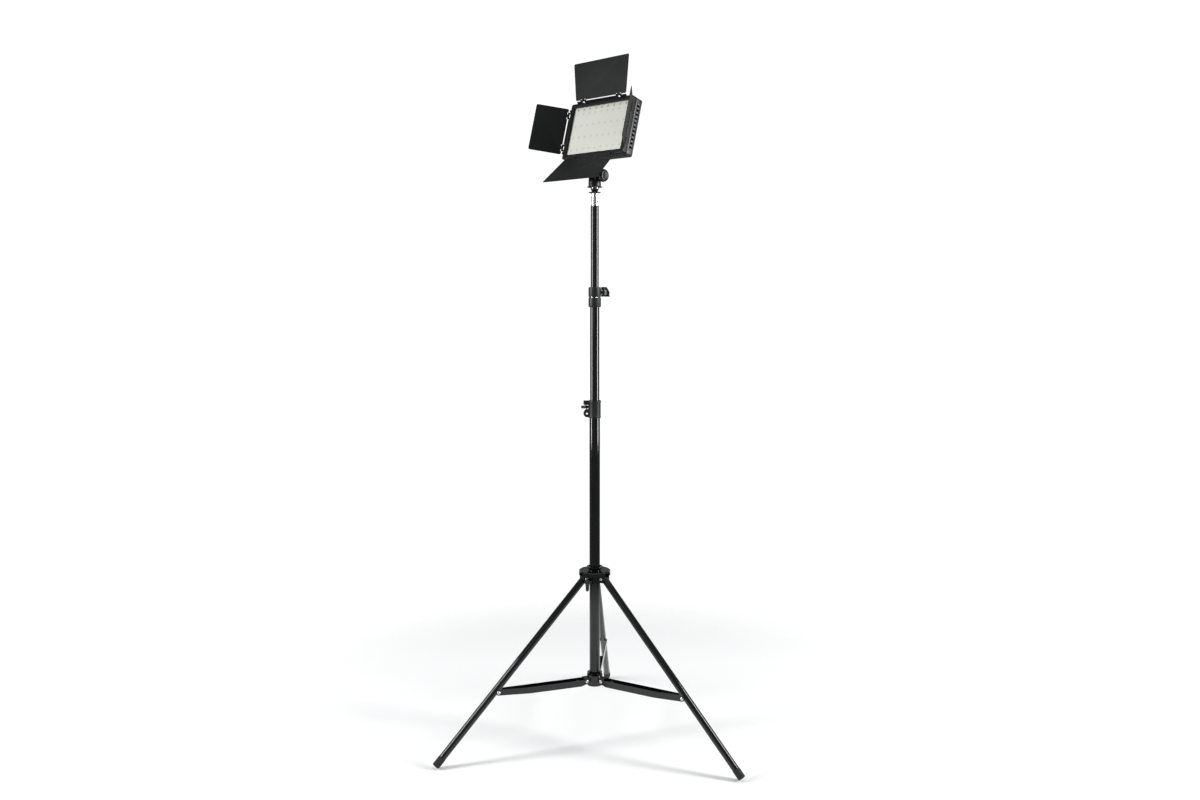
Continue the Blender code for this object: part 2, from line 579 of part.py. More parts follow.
def facing_front(name, half_width, half_height, radius, front, back):
    """A rounded plate facing -Y between two depths, centred on the head's middle."""
    plate = flat(name, rounded_rectangle(half_width, half_height, radius, 3), back - front)
    middle = (front + back) / 2
    for corner in plate.data.vertices:
        corner.co = Vector((corner.co.x, middle - corner.co.z, HEAD_MID + corner.co.y))
    return plate


def hinge_lug(name, middle, axis_y, axis_z, lean):
    """A bar with a round end about a hinge pin; it leans back into the bezel's edge, clear of the door."""
    outline = arc((0, 0), LUG_R, lean + 90, lean + 270, 6)
    reach = LUG_REACH * Vector((math.cos(math.radians(lean)), math.sin(math.radians(lean))))
    outline += [(reach.x + x, reach.y + y) for x, y in (outline[-1], outline[0])]
    lug = flat(name, outline, LUG_THICK)
    for corner in lug.data.vertices:
        corner.co = Vector((middle + corner.co.z, axis_y + corner.co.x, axis_z + corner.co.y))
    return lug


def hinge_lugs(bezel, head):
    """Pairs of lugs on the bezel's edges that carry the doors' hinge pins."""
    spread = BARREL_HALF + 0.4 * MM + LUG_THICK / 2
    edges = (
        ("top", 0.0, HEAD_H / 2, WIDE_DOOR_HINGES, WIDE_AXIS_Y, -35),
        ("bottom", 180.0, HEAD_H / 2, WIDE_DOOR_HINGES, WIDE_AXIS_Y, -35),
        ("left", -90.0, HEAD_W / 2, SIDE_DOOR_HINGES, SIDE_AXIS_Y, -40),
        ("right", 90.0, HEAD_W / 2, SIDE_DOOR_HINGES, SIDE_AXIS_Y, -40),
    )
    for edge, turn, half, hinge, axis_y, lean in edges:
        rotation = (0, math.radians(turn), 0)
        for side in (-1, 1):
            for flank in (-1, 1):
                name = "lug_%s_%d_%d" % (edge, side, flank)
                lug = hinge_lug(name, side * hinge + flank * spread, axis_y, half + HINGE_OUT, lean)
                join(bezel, lug, head, (0, 0, HEAD_MID), rotation)
            bore_name = "lug_bore_%s_%d" % (edge, side)
            bore = turned(bore_name, rod_profile(HINGE_BORE, -9 * MM, 9 * MM), PIN_STEPS)
            axis = Vector((side * hinge, axis_y, half + HINGE_OUT))
            place_in_head = turned_about_y(axis, turn)
            along = math.radians(90) if edge in ("top", "bottom") else 0.0
            cut(bezel, bore, head, place_in_head, (0, along, 0))


def turned_about_y(point, degrees):
    """Turns a point about the Y axis through the head's middle."""
    c, s = math.cos(math.radians(degrees)), math.sin(math.radians(degrees))
    return Vector((point.x * c + point.z * s, point.y, HEAD_MID - point.x * s + point.z * c))


def build_front(head):
    half_w, half_h = HEAD_W / 2, HEAD_H / 2
    bezel_back = HEAD_FRONT + BEZEL_DEPTH
    ledge = HEAD_FRONT + WINDOW_RECESS - GAP
    open_w, open_h = half_w - BEZEL_BORDER, half_h - BEZEL_BORDER
    bezel = facing_front("front_bezel", half_w, half_h, 5 * MM, HEAD_FRONT, bezel_back)
    place(bezel, BLACK_PLASTIC, head)
    cut(bezel, facing_front("window", open_w, open_h, 4 * MM, HEAD_FRONT - 9 * MM, ledge + 1 * MM), head)
    pocket = facing_front("pocket", open_w + 3 * MM, open_h + 3 * MM, 4 * MM, ledge, bezel_back + 9 * MM)
    cut(bezel, pocket, head)
    hinge_lugs(bezel, head)
    layers = (
        ("diffuser", DIFFUSER, ledge + GAP, ledge + GAP + 2 * MM),
        ("led_board", BOARD, ledge + 6 * MM, ledge + 7.6 * MM),
    )
    for name, material, front, back in layers:
        place(facing_front(name, open_w + 2.5 * MM, open_h + 2.5 * MM, 3.5 * MM, front, back), material, head)


def build_rear(head):
    half_w, half_h = HEAD_W / 2 - 0.6 * MM, HEAD_H / 2 - 0.6 * MM
    front = HEAD_FRONT + BEZEL_DEPTH + GAP
    housing = facing_front("rear_housing", half_w, half_h, 5 * MM, front, HOUSING_BACK)
    place(housing, BLACK_PLASTIC, head)
    inside = facing_front("housing_hollow", half_w - 2.2 * MM, half_h - 2.2 * MM, 3 * MM, -30 * MM, 30 * MM)
    cut(housing, inside, head)
    vent_front, vent_back = front + 4.5 * MM, HOUSING_BACK - 2.5 * MM
    first = HEAD_MID - VENT_PITCH * (SIDE_VENTS - 1) / 2
    for index in range(SIDE_VENTS):
        z = first + index * VENT_PITCH
        low = (-half_w - 9 * MM, vent_front, z - 2 * MM)
        high = (half_w + 9 * MM, vent_back, z + 2 * MM)
        cut(housing, block("vent_%d" % index, low, high), head)
    cover = facing_front("rear_cover", half_w, half_h, 5 * MM, HOUSING_BACK + GAP, COVER_BACK)
    place(cover, BLACK_PLASTIC, head)
    shaft_hole = 3.6 * MM
    for name, height in (("dimmer_knob", 28 * MM), ("colour_knob", -4 * MM)):
        spot = (CONTROL_X, 0, HEAD_MID + height)
        facing_back = (math.radians(-90), 0, 0)
        hole = turned(name + "_hole", rod_profile(shaft_hole, HOUSING_BACK - 9 * MM, COVER_BACK + 9 * MM), 16)
        cut(cover, hole, head, spot, facing_back)
        profile = [
            (0.0, 24 * MM), (8 * MM, 24 * MM), (9 * MM, 23 * MM), (9.6 * MM, COVER_BACK + GAP),
            (3 * MM, COVER_BACK + GAP), (3 * MM, 3 * MM), (0.0, 3 * MM),
        ]
        place(turned(name, profile, 24), BLACK_PLASTIC, head, spot, facing_back)
    opening = block("switch_hole", (62 * MM, 0, HEAD_MID - 49 * MM), (82 * MM, 20 * MM, HEAD_MID - 36 * MM))
    cut(cover, opening, head)
    rocker = [(-9 * MM, 3.6 * MM), (-9 * MM, -2 * MM), (9 * MM, -2 * MM), (9 * MM, 1.2 * MM), (0, 2.6 * MM)]
    switch = flat("power_switch", rocker, 12 * MM)
    place(switch, BLACK_PLASTIC, head, (CONTROL_X, COVER_BACK - 1 * MM, HEAD_MID - 42.5 * MM))
    board = block("driver_board", (-60 * MM, -3 * MM, HEAD_MID - 30 * MM), (50 * MM, -1.4 * MM, HEAD_MID + 30 * MM))
    place(board, GREEN_BOARD, head)
    low = (-36 * MM, COVER_BACK + GAP, HEAD_MID - 35 * MM)
    high = (36 * MM, COVER_BACK + 11 * MM, HEAD_MID + 35 * MM)
    place(block("battery_plate", low, high, 1.5 * MM), BLACK_PLASTIC, head)


# ---------------------------------------------------------------- barn doors

def door_outline(inner_half, outer_half, depth):
    """A door's plate with cut corners, from just beyond its hinge line outward."""
    corner = 3 * MM
    right = [
        (inner_half - corner, DOOR_EDGE), (inner_half, DOOR_EDGE + corner),
        (outer_half, depth - corner), (outer_half - corner, depth),
    ]
    return right + [(-x, y) for x, y in reversed(right)]


def build_door(name, head, turn, opening, half, axis_y, sizes, hinge):
    inner_half, outer_half, depth = sizes
    centre = turned_about_y(Vector((0, axis_y, half + HINGE_OUT)), turn)
    pivot = make_empty(name + "_pivot", centre, (opening, math.radians(turn), 0), head)
    door = flat(name, door_outline(inner_half, outer_half, depth), DOOR_SHEET)
    for corner in door.data.vertices:
        corner.co = Vector((corner.co.x, -corner.co.z, corner.co.y))
    place(door, SHEET_BLACK, pivot)
    along_hinge = (0, math.radians(90), 0)
    for side in (-1, 1):
        notch_low = (side * hinge - DOOR_NOTCH_HALF, -9 * MM, -9 * MM)
        notch_high = (side * hinge + DOOR_NOTCH_HALF, 9 * MM, DOOR_SLIT)
        cut(door, block("%s_notch_%d" % (name, side), notch_low, notch_high), pivot)
    for side in (-1, 1):
        barrel = turned("%s_barrel_%d" % (name, side), rod_profile(BARREL_R, -BARREL_HALF, BARREL_HALF), SMALL_STEPS)
        join(door, barrel, pivot, (side * hinge, 0, 0), along_hinge)
        tab_low = (-BARREL_HALF + 0.5 * MM, -DOOR_SHEET * 0.4, BARREL_R - 0.6 * MM)
        tab_high = (BARREL_HALF - 0.5 * MM, DOOR_SHEET * 0.4, DOOR_SLIT + 2 * MM)
        join(door, block("%s_tab_%d" % (name, side), tab_low, tab_high), pivot, (side * hinge, 0, 0))
    for number, side in enumerate((-1, 1), 1):
        bore = turned("%s_bore_%d" % (name, number), rod_profile(HINGE_BORE, -9 * MM, 9 * MM), PIN_STEPS)
        cut(door, bore, pivot, (side * hinge, 0, 0), along_hinge)
        half_pin = BARREL_HALF + 0.4 * MM + LUG_THICK
        pin = turned("%s_pin_%d" % (name, number), rod_profile(HINGE_PIN_R, -half_pin, half_pin), PIN_STEPS)
        place(pin, BLACK_STEEL, pivot, (side * hinge, 0, 0), along_hinge)


def build_doors(head):
    wide = (80.5 * MM, 88.0 * MM, 86.0 * MM)
    tall = (55.5 * MM, 55.5 * MM, 79.0 * MM)
    doors = (
        ("door_top", 0.0, 14.0, HEAD_H / 2, WIDE_AXIS_Y, wide, WIDE_DOOR_HINGES),
        ("door_bottom", 180.0, 34.0, HEAD_H / 2, WIDE_AXIS_Y, wide, WIDE_DOOR_HINGES),
        ("door_left", -90.0, 42.0, HEAD_W / 2, SIDE_AXIS_Y, tall, SIDE_DOOR_HINGES),
        ("door_right", 90.0, 50.0, HEAD_W / 2, SIDE_AXIS_Y, tall, SIDE_DOOR_HINGES),
    )
    for name, turn, opening, half, axis_y, sizes, hinge in doors:
        build_door(name, head, turn, math.radians(opening), half, axis_y, sizes, hinge)


def shade():
    """Keeps flat faces crisp and round walls smooth."""
    for piece in PARTS.objects:
        if piece.type == "MESH" and piece.data.polygons:
            piece.data.set_sharp_from_angle(angle=math.radians(35))


def main():
    column = make_empty("column_axis", (0, COLUMN_Y, 0))
    build_column(column)
    build_lower_clamp(column)
    build_upper_clamp(column)
    build_upper_hub(column)
    build_hub_lock(column)
    build_lower_hub(column)
    for number, azimuth in enumerate(LEG_AZIMUTHS, 1):
        build_leg(number, azimuth, column)
        build_brace(number, azimuth, column)
    build_spigot(column)
    pan = make_empty("pan_axis", (0, 0, TILT_Z), (0, 0, PAN_ANGLE), column)
    build_adapter(pan)
    tilt = make_empty("tilt_axis", (0, 0, 0), (TILT_ANGLE, 0, 0), pan)
    build_tilt_parts(tilt)
    build_front(tilt)
    build_rear(tilt)
    build_doors(tilt)
    shade()


main()
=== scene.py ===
"""Surface, fine shape and studio of an LED panel light on a folding stand.

The base model gives every place and every main size. Each sub-assembly below is a class that
builds its visible pieces on the base model's nodes, in the node's own frame, and gives them the
finish of the real material. Metres, +Z up.
"""

import json
import logging
import math
from collections.abc import Callable, Iterable, Sequence
from dataclasses import dataclass, field
from enum import Enum
from typing import Any

import bmesh
import bpy
from mathutils import Matrix, Vector

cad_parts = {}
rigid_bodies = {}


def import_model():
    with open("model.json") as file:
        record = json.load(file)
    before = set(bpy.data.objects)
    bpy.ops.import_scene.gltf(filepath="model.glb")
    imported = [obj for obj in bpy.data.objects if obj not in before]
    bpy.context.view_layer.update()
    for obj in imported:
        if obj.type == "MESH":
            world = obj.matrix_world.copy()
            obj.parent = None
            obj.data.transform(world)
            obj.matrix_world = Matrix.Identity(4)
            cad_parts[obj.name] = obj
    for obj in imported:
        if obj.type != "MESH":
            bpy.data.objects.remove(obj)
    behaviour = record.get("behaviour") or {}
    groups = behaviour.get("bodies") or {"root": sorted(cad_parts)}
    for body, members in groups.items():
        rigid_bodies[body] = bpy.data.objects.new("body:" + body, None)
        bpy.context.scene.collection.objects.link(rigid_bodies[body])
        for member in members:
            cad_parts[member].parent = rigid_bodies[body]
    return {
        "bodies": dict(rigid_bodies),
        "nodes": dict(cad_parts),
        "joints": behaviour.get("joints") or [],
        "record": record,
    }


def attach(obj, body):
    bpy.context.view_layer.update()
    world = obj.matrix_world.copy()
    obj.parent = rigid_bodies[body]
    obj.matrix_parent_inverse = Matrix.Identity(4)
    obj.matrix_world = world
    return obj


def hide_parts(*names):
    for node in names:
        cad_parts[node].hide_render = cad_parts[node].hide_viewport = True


MM = 0.001
LOG = logging.getLogger("led_panel_light")

Point = tuple[float, float]
Outline = list[Point]
Ring = list[Vector]
Node = bpy.types.Node
Socket = bpy.types.NodeSocket
Mesh = bpy.types.Mesh
Thing = bpy.types.Object

# Turns a shape drawn in X and Y, with its thickness along Z, so that it stands up facing along Y
STANDING = Matrix(((1, 0, 0, 0), (0, 0, 1, 0), (0, 1, 0, 0), (0, 0, 0, 1)))

# Edges sharper than this stay crisp, and are the ones that get rounded
CREASE = 32.0
# Points closer than this are one point, and faces flatter to each other than this are one face
SAME_POINT = 0.005 * MM
SAME_FACE = 0.8


# ------------------------------------------------------------------ colours and nodes

def linear(colour: str) -> tuple[float, float, float, float]:
    """Turns an sRGB hex colour into the linear colour that a shader takes.

    Args:
        colour: Six hex digits, with or without a leading #.

    Returns:
        Red, green, blue and alpha, linear.
    """
    digits = colour.lstrip("#")
    parts = [int(digits[start:start + 2], 16) / 255 for start in (0, 2, 4)]
    curve = [part / 12.92 if part <= 0.04045 else ((part + 0.055) / 1.055) ** 2.4 for part in parts]
    return (curve[0], curve[1], curve[2], 1.0)


def add_node(
    tree: bpy.types.NodeTree,
    kind: str,
    settings: dict[str | int, Any] | None = None,
    links: dict[str | int, Socket] | None = None,
) -> Node:
    """Adds one node with its settings and the links into it.

    Args:
        tree: The node tree that gets the node.
        kind: The node's type, such as ShaderNodeTexNoise.
        settings: Values by property name, or else by input name or input number.
        links: Sockets to link, by input name or input number.

    Returns:
        The new node.
    """
    node = tree.nodes.new(kind)
    for key, value in (settings or {}).items():
        if isinstance(key, str) and hasattr(node, key):
            setattr(node, key, value)
        else:
            node.inputs[key].default_value = value
    for key, socket in (links or {}).items():
        tree.links.new(socket, node.inputs[key])
    return node


# ------------------------------------------------------------------ finishes

@dataclass(frozen=True)
class Finish:
    """A real material and how its surface was made.

    Attributes:
        name: The material's common name with its process.
        slot: The record's material slot; not used.
        colour: Main colour, sRGB hex.
        worn: Colour where the surface is thin, dusty or rubbed, sRGB hex.
        roughness: Mean roughness.
        uneven: How far the roughness moves either way.
        grain_mm: Size of the surface's relief, in millimetres.
        relief_mm: Depth of the relief, in millimetres.
        patch_mm: Size of the cloudy patches in colour and gloss, in millimetres.
        metallic: 1 for bare or plated metal.
        ior: Index of refraction of a plastic, paint or rubber.
    """

    name: str
    slot: str
    colour: str
    worn: str
    roughness: float
    uneven: float
    grain_mm: float
    relief_mm: float
    patch_mm: float = 40.0
    metallic: float = 0.0
    ior: float = 1.5

    def material(self) -> bpy.types.Material:
        """Gives the finish's material, made on first use.

        Returns:
            The material.
        """
        found = bpy.data.materials.get(self.name)
        if found:
            return found
        made = bpy.data.materials.new(self.name)
        made.use_nodes = True
        tree = made.node_tree
        shader = tree.nodes["Principled BSDF"]
        shader.inputs["Metallic"].default_value = self.metallic
        shader.inputs["IOR"].default_value = self.ior
        place = add_node(tree, "ShaderNodeTexCoord").outputs["Object"]
        tree.links.new(self.tint(tree, place), shader.inputs["Base Color"])
        tree.links.new(self.gloss(tree, place), shader.inputs["Roughness"])
        bump = add_node(
            tree,
            "ShaderNodeBump",
            {"Strength": 1.0, "Distance": self.relief_mm * MM},
            {"Height": self.relief(tree, place)},
        )
        tree.links.new(bump.outputs["Normal"], shader.inputs["Normal"])
        return made

    def patches(self, tree: bpy.types.NodeTree, place: Socket) -> Socket:
        """Cloudy patches from 0 to 1.

        Args:
            tree: The material's node tree.
            place: The surface's own coordinates.

        Returns:
            The mask's socket.
        """
        settings = {"Scale": 1 / (self.patch_mm * MM), "Detail": 4.0, "Roughness": 0.62}
        cloud = add_node(tree, "ShaderNodeTexNoise", settings, {"Vector": place})
        spread = {"From Min": 0.3, "From Max": 0.75}
        return add_node(tree, "ShaderNodeMapRange", spread, {"Value": cloud.outputs["Fac"]}).outputs["Result"]

    def tint(self, tree: bpy.types.NodeTree, place: Socket) -> Socket:
        """The colour, with the worn one in patches.

        Args:
            tree: The material's node tree.
            place: The surface's own coordinates.

        Returns:
            The colour's socket.
        """
        mix = add_node(
            tree,
            "ShaderNodeMix",
            {"data_type": "RGBA", 6: linear(self.colour), 7: linear(self.worn)},
            {0: self.patches(tree, place)},
        )
        return mix.outputs[2]

    def gloss(self, tree: bpy.types.NodeTree, place: Socket) -> Socket:
        """The roughness, uneven at the patches' scale.

        Args:
            tree: The material's node tree.
            place: The surface's own coordinates.

        Returns:
            The roughness's socket.
        """
        limits = {"To Min": self.roughness - self.uneven, "To Max": self.roughness + self.uneven}
        return add_node(
            tree, "ShaderNodeMapRange", limits, {"Value": self.patches(tree, place)}
        ).outputs["Result"]

    def relief(self, tree: bpy.types.NodeTree, place: Socket) -> Socket:
        """The height of the surface's grain.

        Args:
            tree: The material's node tree.
            place: The surface's own coordinates.

        Returns:
            The height's socket.
        """
        settings = {"Scale": 1 / (self.grain_mm * MM), "Detail": 3.0, "Roughness": 0.55}
        return add_node(tree, "ShaderNodeTexNoise", settings, {"Vector": place}).outputs["Fac"]


@dataclass(frozen=True)
class TurnedMetal(Finish):
    """Metal turned on a lathe: fine rings around the piece's own Z axis."""

    ring_mm: float = 0.5

    def relief(self, tree: bpy.types.NodeTree, place: Socket) -> Socket:
        """Tool marks as rings, a little irregular.

        Args:
            tree: The material's node tree.
            place: The surface's own coordinates.

        Returns:
            The height's socket.
        """
        settings = {
            "wave_type": "BANDS",
            "bands_direction": "Z",
            "Scale": 1 / (self.ring_mm * MM * 20),
            "Distortion": 1.2,
            "Detail": 2.0,
        }
        return add_node(tree, "ShaderNodeTexWave", settings, {"Vector": place}).outputs["Fac"]


@dataclass(frozen=True)
class OpalSheet(Finish):
    """Milky sheet with the emitters behind it showing through as faint grey spots; the top row is painted
    darker, partly painted shade under the bezel's top edge.
    """

    column_mm: float = 19.3
    row_mm: float = 28.7
    top_row_mm: float = 52.0
    middle_mm: float = 107.25
    lattice_mm: float = 12.8
    spot_mm: float = 4.2
    spot: str = "#a3a49c"

    def spots(self, tree: bpy.types.NodeTree, place: Socket, pitch: Point, shift: Point) -> Socket:
        """A lattice of soft round spots.

        Args:
            tree: The material's node tree.
            place: The sheet's own coordinates.
            pitch: Distance between spots across and up, in metres.
            shift: Where one spot of the lattice lies, across and up, in metres.

        Returns:
            1 in the middle of a spot and 0 away from it.
        """
        steps = (
            ("SUBTRACT", (shift[0], 0.0, shift[1])),
            ("MULTIPLY", (1 / pitch[0], 0.0, 1 / pitch[1])),
            ("ADD", (0.5, 0.0, 0.5)),
            ("FRACTION", None),
            ("SUBTRACT", (0.5, 0.0, 0.5)),
            ("MULTIPLY", (pitch[0], 0.0, pitch[1])),
        )
        socket = place
        for operation, value in steps:
            settings: dict[str | int, Any] = {"operation": operation}
            if value:
                settings[1] = value
            socket = add_node(tree, "ShaderNodeVectorMath", settings, {0: socket}).outputs[0]
        length = add_node(tree, "ShaderNodeVectorMath", {"operation": "LENGTH"}, {0: socket})
        fade = {
            "interpolation_type": "SMOOTHSTEP",
            "From Min": self.spot_mm * 1.1 * MM,
            "From Max": self.spot_mm * 0.35 * MM,
        }
        ranged = add_node(tree, "ShaderNodeMapRange", fade, {"Value": length.outputs["Value"]})
        return ranged.outputs["Result"]

    def tint(self, tree: bpy.types.NodeTree, place: Socket) -> Socket:
        """Milk white with faint rows of spots, the top row strongest: partly the emitters seen through,
        partly painted shade under the bezel's top edge.

        Args:
            tree: The material's node tree.
            place: The surface's own coordinates.

        Returns:
            The colour's socket.
        """
        base = super().tint(tree, place)
        pitch = (self.column_mm * MM, self.row_mm * MM)
        rows = self.spots(tree, place, pitch, (0.0, (self.middle_mm + self.lattice_mm) * MM))
        # The top row gets more than twice the weight: partly emitters seen through, partly painted shade cast
        # by the bezel's top edge.
        top = self.spots(tree, place, (pitch[0], 1.0), (0.0, (self.middle_mm + self.top_row_mm) * MM))
        for mask, weight in ((rows, 0.42), (top, 0.95)):
            faint = add_node(
                tree, "ShaderNodeMath", {"operation": "MULTIPLY", 1: weight}, {0: mask}
            ).outputs["Value"]
            settings = {"data_type": "RGBA", 7: linear(self.spot)}
            base = add_node(tree, "ShaderNodeMix", settings, {0: faint, 6: base}).outputs[2]
        return base


@dataclass(frozen=True)
class EtchedBoard(Finish):
    """Circuit board whose solder mask lies over etched tracks."""

    track_mm: float = 3.0

    def relief(self, tree: bpy.types.NodeTree, place: Socket) -> Socket:
        """Tracks as raised lines with square turns.

        Args:
            tree: The material's node tree.
            place: The surface's own coordinates.

        Returns:
            The height's socket.
        """
        settings = {
            "Scale": 1 / (self.track_mm * MM),
            "Mortar Size": 0.12,
            "Brick Width": 3.1,
            "Row Height": 0.8,
        }
        return add_node(tree, "ShaderNodeTexBrick", settings, {"Vector": place}).outputs["Fac"]


# Stoved gloss enamel on drawn steel: nearly black, wet looking, with a hint of orange peel
ENAMEL = Finish(
    "gloss_enamel", "gloss_black_tube", colour="#060707", worn="#0a0b0b",
    roughness=0.08, uneven=0.02, grain_mm=4.0, relief_mm=0.0015, patch_mm=60.0,
)
# Epoxy powder coat on sheet: charcoal, matt, with a fine pebbled skin drawn coarse enough to show
POWDER = Finish(
    "powder_coat", "door_paint", colour="#0e1010", worn="#131515",
    roughness=0.58, uneven=0.04, grain_mm=1.6, relief_mm=0.02, patch_mm=25.0, ior=1.28,
)
# Glass filled nylon from a spark eroded mould: dark grey, matt, lighter where hands rub it
NYLON = Finish(
    "moulded_nylon", "clamp_plastic", colour="#121314", worn="#1c1d1e",
    roughness=0.45, uneven=0.06, grain_mm=1.2, relief_mm=0.012, patch_mm=14.0, ior=1.45,
)
# ABS from a satin mould: black with an even soft sheen
ABS = Finish(
    "moulded_abs", "lamp_shell", colour="#0a0b0c", worn="#101112",
    roughness=0.38, uneven=0.04, grain_mm=1.4, relief_mm=0.006, patch_mm=30.0, ior=1.5,
)
# ABS from a fine matt mould: deep black, which frames the bright sheet
DEEP_ABS = Finish(
    "deep_black_abs", "lamp_shell", colour="#050506", worn="#08080a",
    roughness=0.42, uneven=0.04, grain_mm=1.4, relief_mm=0.006, patch_mm=30.0, ior=1.32,
)
# ABS from a textured mould, a shade lighter, with a lilac cast where light rakes over it
GREY_ABS = Finish(
    "textured_abs", "lamp_shell", colour="#434249", worn="#504f56",
    roughness=0.5, uneven=0.05, grain_mm=1.4, relief_mm=0.01, patch_mm=12.0, ior=1.5,
)
# ABS from a polished mould: black dials and knobs that take a clear highlight
GLOSS_ABS = Finish(
    "polished_abs", "control_plastic", colour="#0c0c0d", worn="#111112",
    roughness=0.24, uneven=0.04, grain_mm=3.0, relief_mm=0.003, patch_mm=20.0, ior=1.5,
)
# Natural rubber, moulded: matt, slightly grey with floor dust
RUBBER = Finish(
    "moulded_rubber", "rubber_foot", colour="#0b0b0b", worn="#1b1a19",
    roughness=0.78, uneven=0.08, grain_mm=1.5, relief_mm=0.03, patch_mm=9.0, ior=1.52,
)
# Bright nickel on turned steel: mirror like with fine tool rings
NICKEL = TurnedMetal(
    "nickel_plate", "bright_steel", colour="#dededb", worn="#c6c6c2",
    roughness=0.2, uneven=0.05, grain_mm=1.0, relief_mm=0.001, patch_mm=6.0, metallic=1.0,
)
# Black oxide on turned steel: a dark metal with a dull shine
OXIDE = TurnedMetal(
    "black_oxide", "black_steel", colour="#2a2a2c", worn="#3a3a3b",
    roughness=0.36, uneven=0.06, grain_mm=1.0, relief_mm=0.002, patch_mm=8.0, metallic=1.0,
)
# Opal acrylic, extruded: milk white, even, with a satin face
OPAL = OpalSheet(
    "opal_acrylic", "diffuser_sheet", colour="#d3d4ca", worn="#cdcec4",
    roughness=0.42, uneven=0.03, grain_mm=2.0, relief_mm=0.002, patch_mm=50.0, ior=1.49,
)
# White solder mask over copper: satin, with the tracks just raised
MASK = EtchedBoard(
    "white_solder_mask", "led_board_white", colour="#dfe0da", worn="#d4d5cf",
    roughness=0.36, uneven=0.04, grain_mm=2.0, relief_mm=0.04, patch_mm=12.0,
)
# Green solder mask over copper: translucent green over brighter tracks
GREEN = EtchedBoard(
    "green_solder_mask", "circuit_board_green", colour="#14492a", worn="#1d6036",
    roughness=0.3, uneven=0.05, grain_mm=2.0, relief_mm=0.05, patch_mm=6.0,
)
# Silicone mixed with phosphor, cast over the chip: lemon yellow, glossy and rounded
PHOSPHOR = Finish(
    "cast_phosphor", "led_board_white", colour="#d8c05a", worn="#cbb14a",
    roughness=0.2, uneven=0.05, grain_mm=1.0, relief_mm=0.004, patch_mm=4.0, ior=1.41,
)
# Ink pad printed on the cover: flat white
INK = Finish(
    "pad_print_ink", "led_board_white", colour="#c9cac8", worn="#bcbdbb",
    roughness=0.6, uneven=0.05, grain_mm=0.8, relief_mm=0.002, patch_mm=5.0,
)


# ------------------------------------------------------------------ shapes

class Carve(Enum):
    """How one closed shape changes another."""

    CUT = "DIFFERENCE"
    JOIN = "UNION"


@dataclass(frozen=True)
class Flutes:
    """Grip flutes round a turned rim.

    Attributes:
        count: Flutes in one turn.
        depth: How deep each is, in metres.
        low: Lowest height with flutes.
        high: Highest height with flutes.
        from_radius: Smallest radius that gets them.
    """

    count: int
    depth: float
    low: float
    high: float
    from_radius: float

    def radius(self, radius: float, height: float, angle: float) -> float:
        """The radius of the fluted rim at one angle.

        Args:
            radius: The plain radius.
            height: Height on the axis.
            angle: Angle round the axis, in radians.

        Returns:
            The radius with the flute taken off.
        """
        if radius < self.from_radius or not self.low <= height <= self.high:
            return radius
        return radius - self.depth * (0.5 - 0.5 * math.cos(self.count * angle))


def fillet(points: Sequence[Point], radius: float, steps: int = 3, closed: bool = True) -> Outline:
    """Rounds the corners of an outline or of a turned profile.

    Args:
        points: The corners in order.
        radius: The length of side that each rounding takes, at most; a short side gives less.
        steps: Straight bits in each rounding.
        closed: Whether the last corner joins the first.

    Returns:
        The points with their corners rounded.
    """
    corners = [Vector(point) for point in points]
    rounded: Outline = []
    for index, corner in enumerate(corners):
        if not closed and index in (0, len(corners) - 1):
            rounded.append((corner.x, corner.y))
            continue
        back = corners[index - 1] - corner
        ahead = corners[(index + 1) % len(corners)] - corner
        reach = min(radius, 0.45 * back.length, 0.45 * ahead.length)
        start, end = corner + back.normalized() * reach, corner + ahead.normalized() * reach
        for step in range(steps + 1):
            share = step / steps
            spot = start * (1 - share) ** 2 + corner * (2 * share * (1 - share)) + end * share ** 2
            rounded.append((spot.x, spot.y))
    return rounded


def arc(centre: Point, radius: float, start: float, end: float, steps: int) -> Outline:
    """Points on an arc, with its start and end in degrees."""
    angles = [math.radians(start + (end - start) * step / steps) for step in range(steps + 1)]
    return [(centre[0] + radius * math.cos(a), centre[1] + radius * math.sin(a)) for a in angles]


def rectangle(half_width: float, half_height: float, radius: float, steps: int = 5) -> Outline:
    """A rectangle with round corners, anticlockwise.

    Args:
        half_width: Half its width.
        half_height: Half its height.
        radius: The corners' radius.
        steps: Straight bits in each corner.

    Returns:
        The outline.
    """
    corners = ((1, 1), (-1, 1), (-1, -1), (1, -1))
    outline: Outline = []
    for turn, (side, end) in enumerate(corners):
        centre = (side * (half_width - radius), end * (half_height - radius))
        outline += arc(centre, radius, 90 * turn, 90 * turn + 90, steps)
    return outline


def shrunk(outline: Sequence[Point], inset: float) -> Outline:
    """Moves every side of an anticlockwise outline inward by the same distance.

    Args:
        outline: The outline.
        inset: How far its sides move.

    Returns:
        The smaller outline.
    """
    corners = [Vector(point) for point in outline]
    moved: Outline = []
    for index, corner in enumerate(corners):
        before = (corner - corners[index - 1]).normalized()
        after = (corners[(index + 1) % len(corners)] - corner).normalized()
        inward = Vector((-before.y, before.x)) + Vector((-after.y, after.x))
        spot = corner + inward * inset / max(0.2, 1 + before.dot(after))
        moved.append((spot.x, spot.y))
    return moved


def rims(low: float, high: float, radius: float, steps: int = 3) -> Outline:
    """The edge of a slab with rounded rims, as (inset, height) from its bottom to its top.

    Args:
        low: The slab's bottom.
        high: The slab's top.
        radius: The rims' radius.
        steps: Straight bits in each rim.

    Returns:
        The edge profile.
    """
    angles = [math.radians(90 * step / steps) for step in range(steps + 1)]
    bottom = [(radius * (1 - math.sin(a)), low + radius * (1 - math.cos(a))) for a in angles]
    return bottom + [(inset, low + high - height) for inset, height in reversed(bottom)]


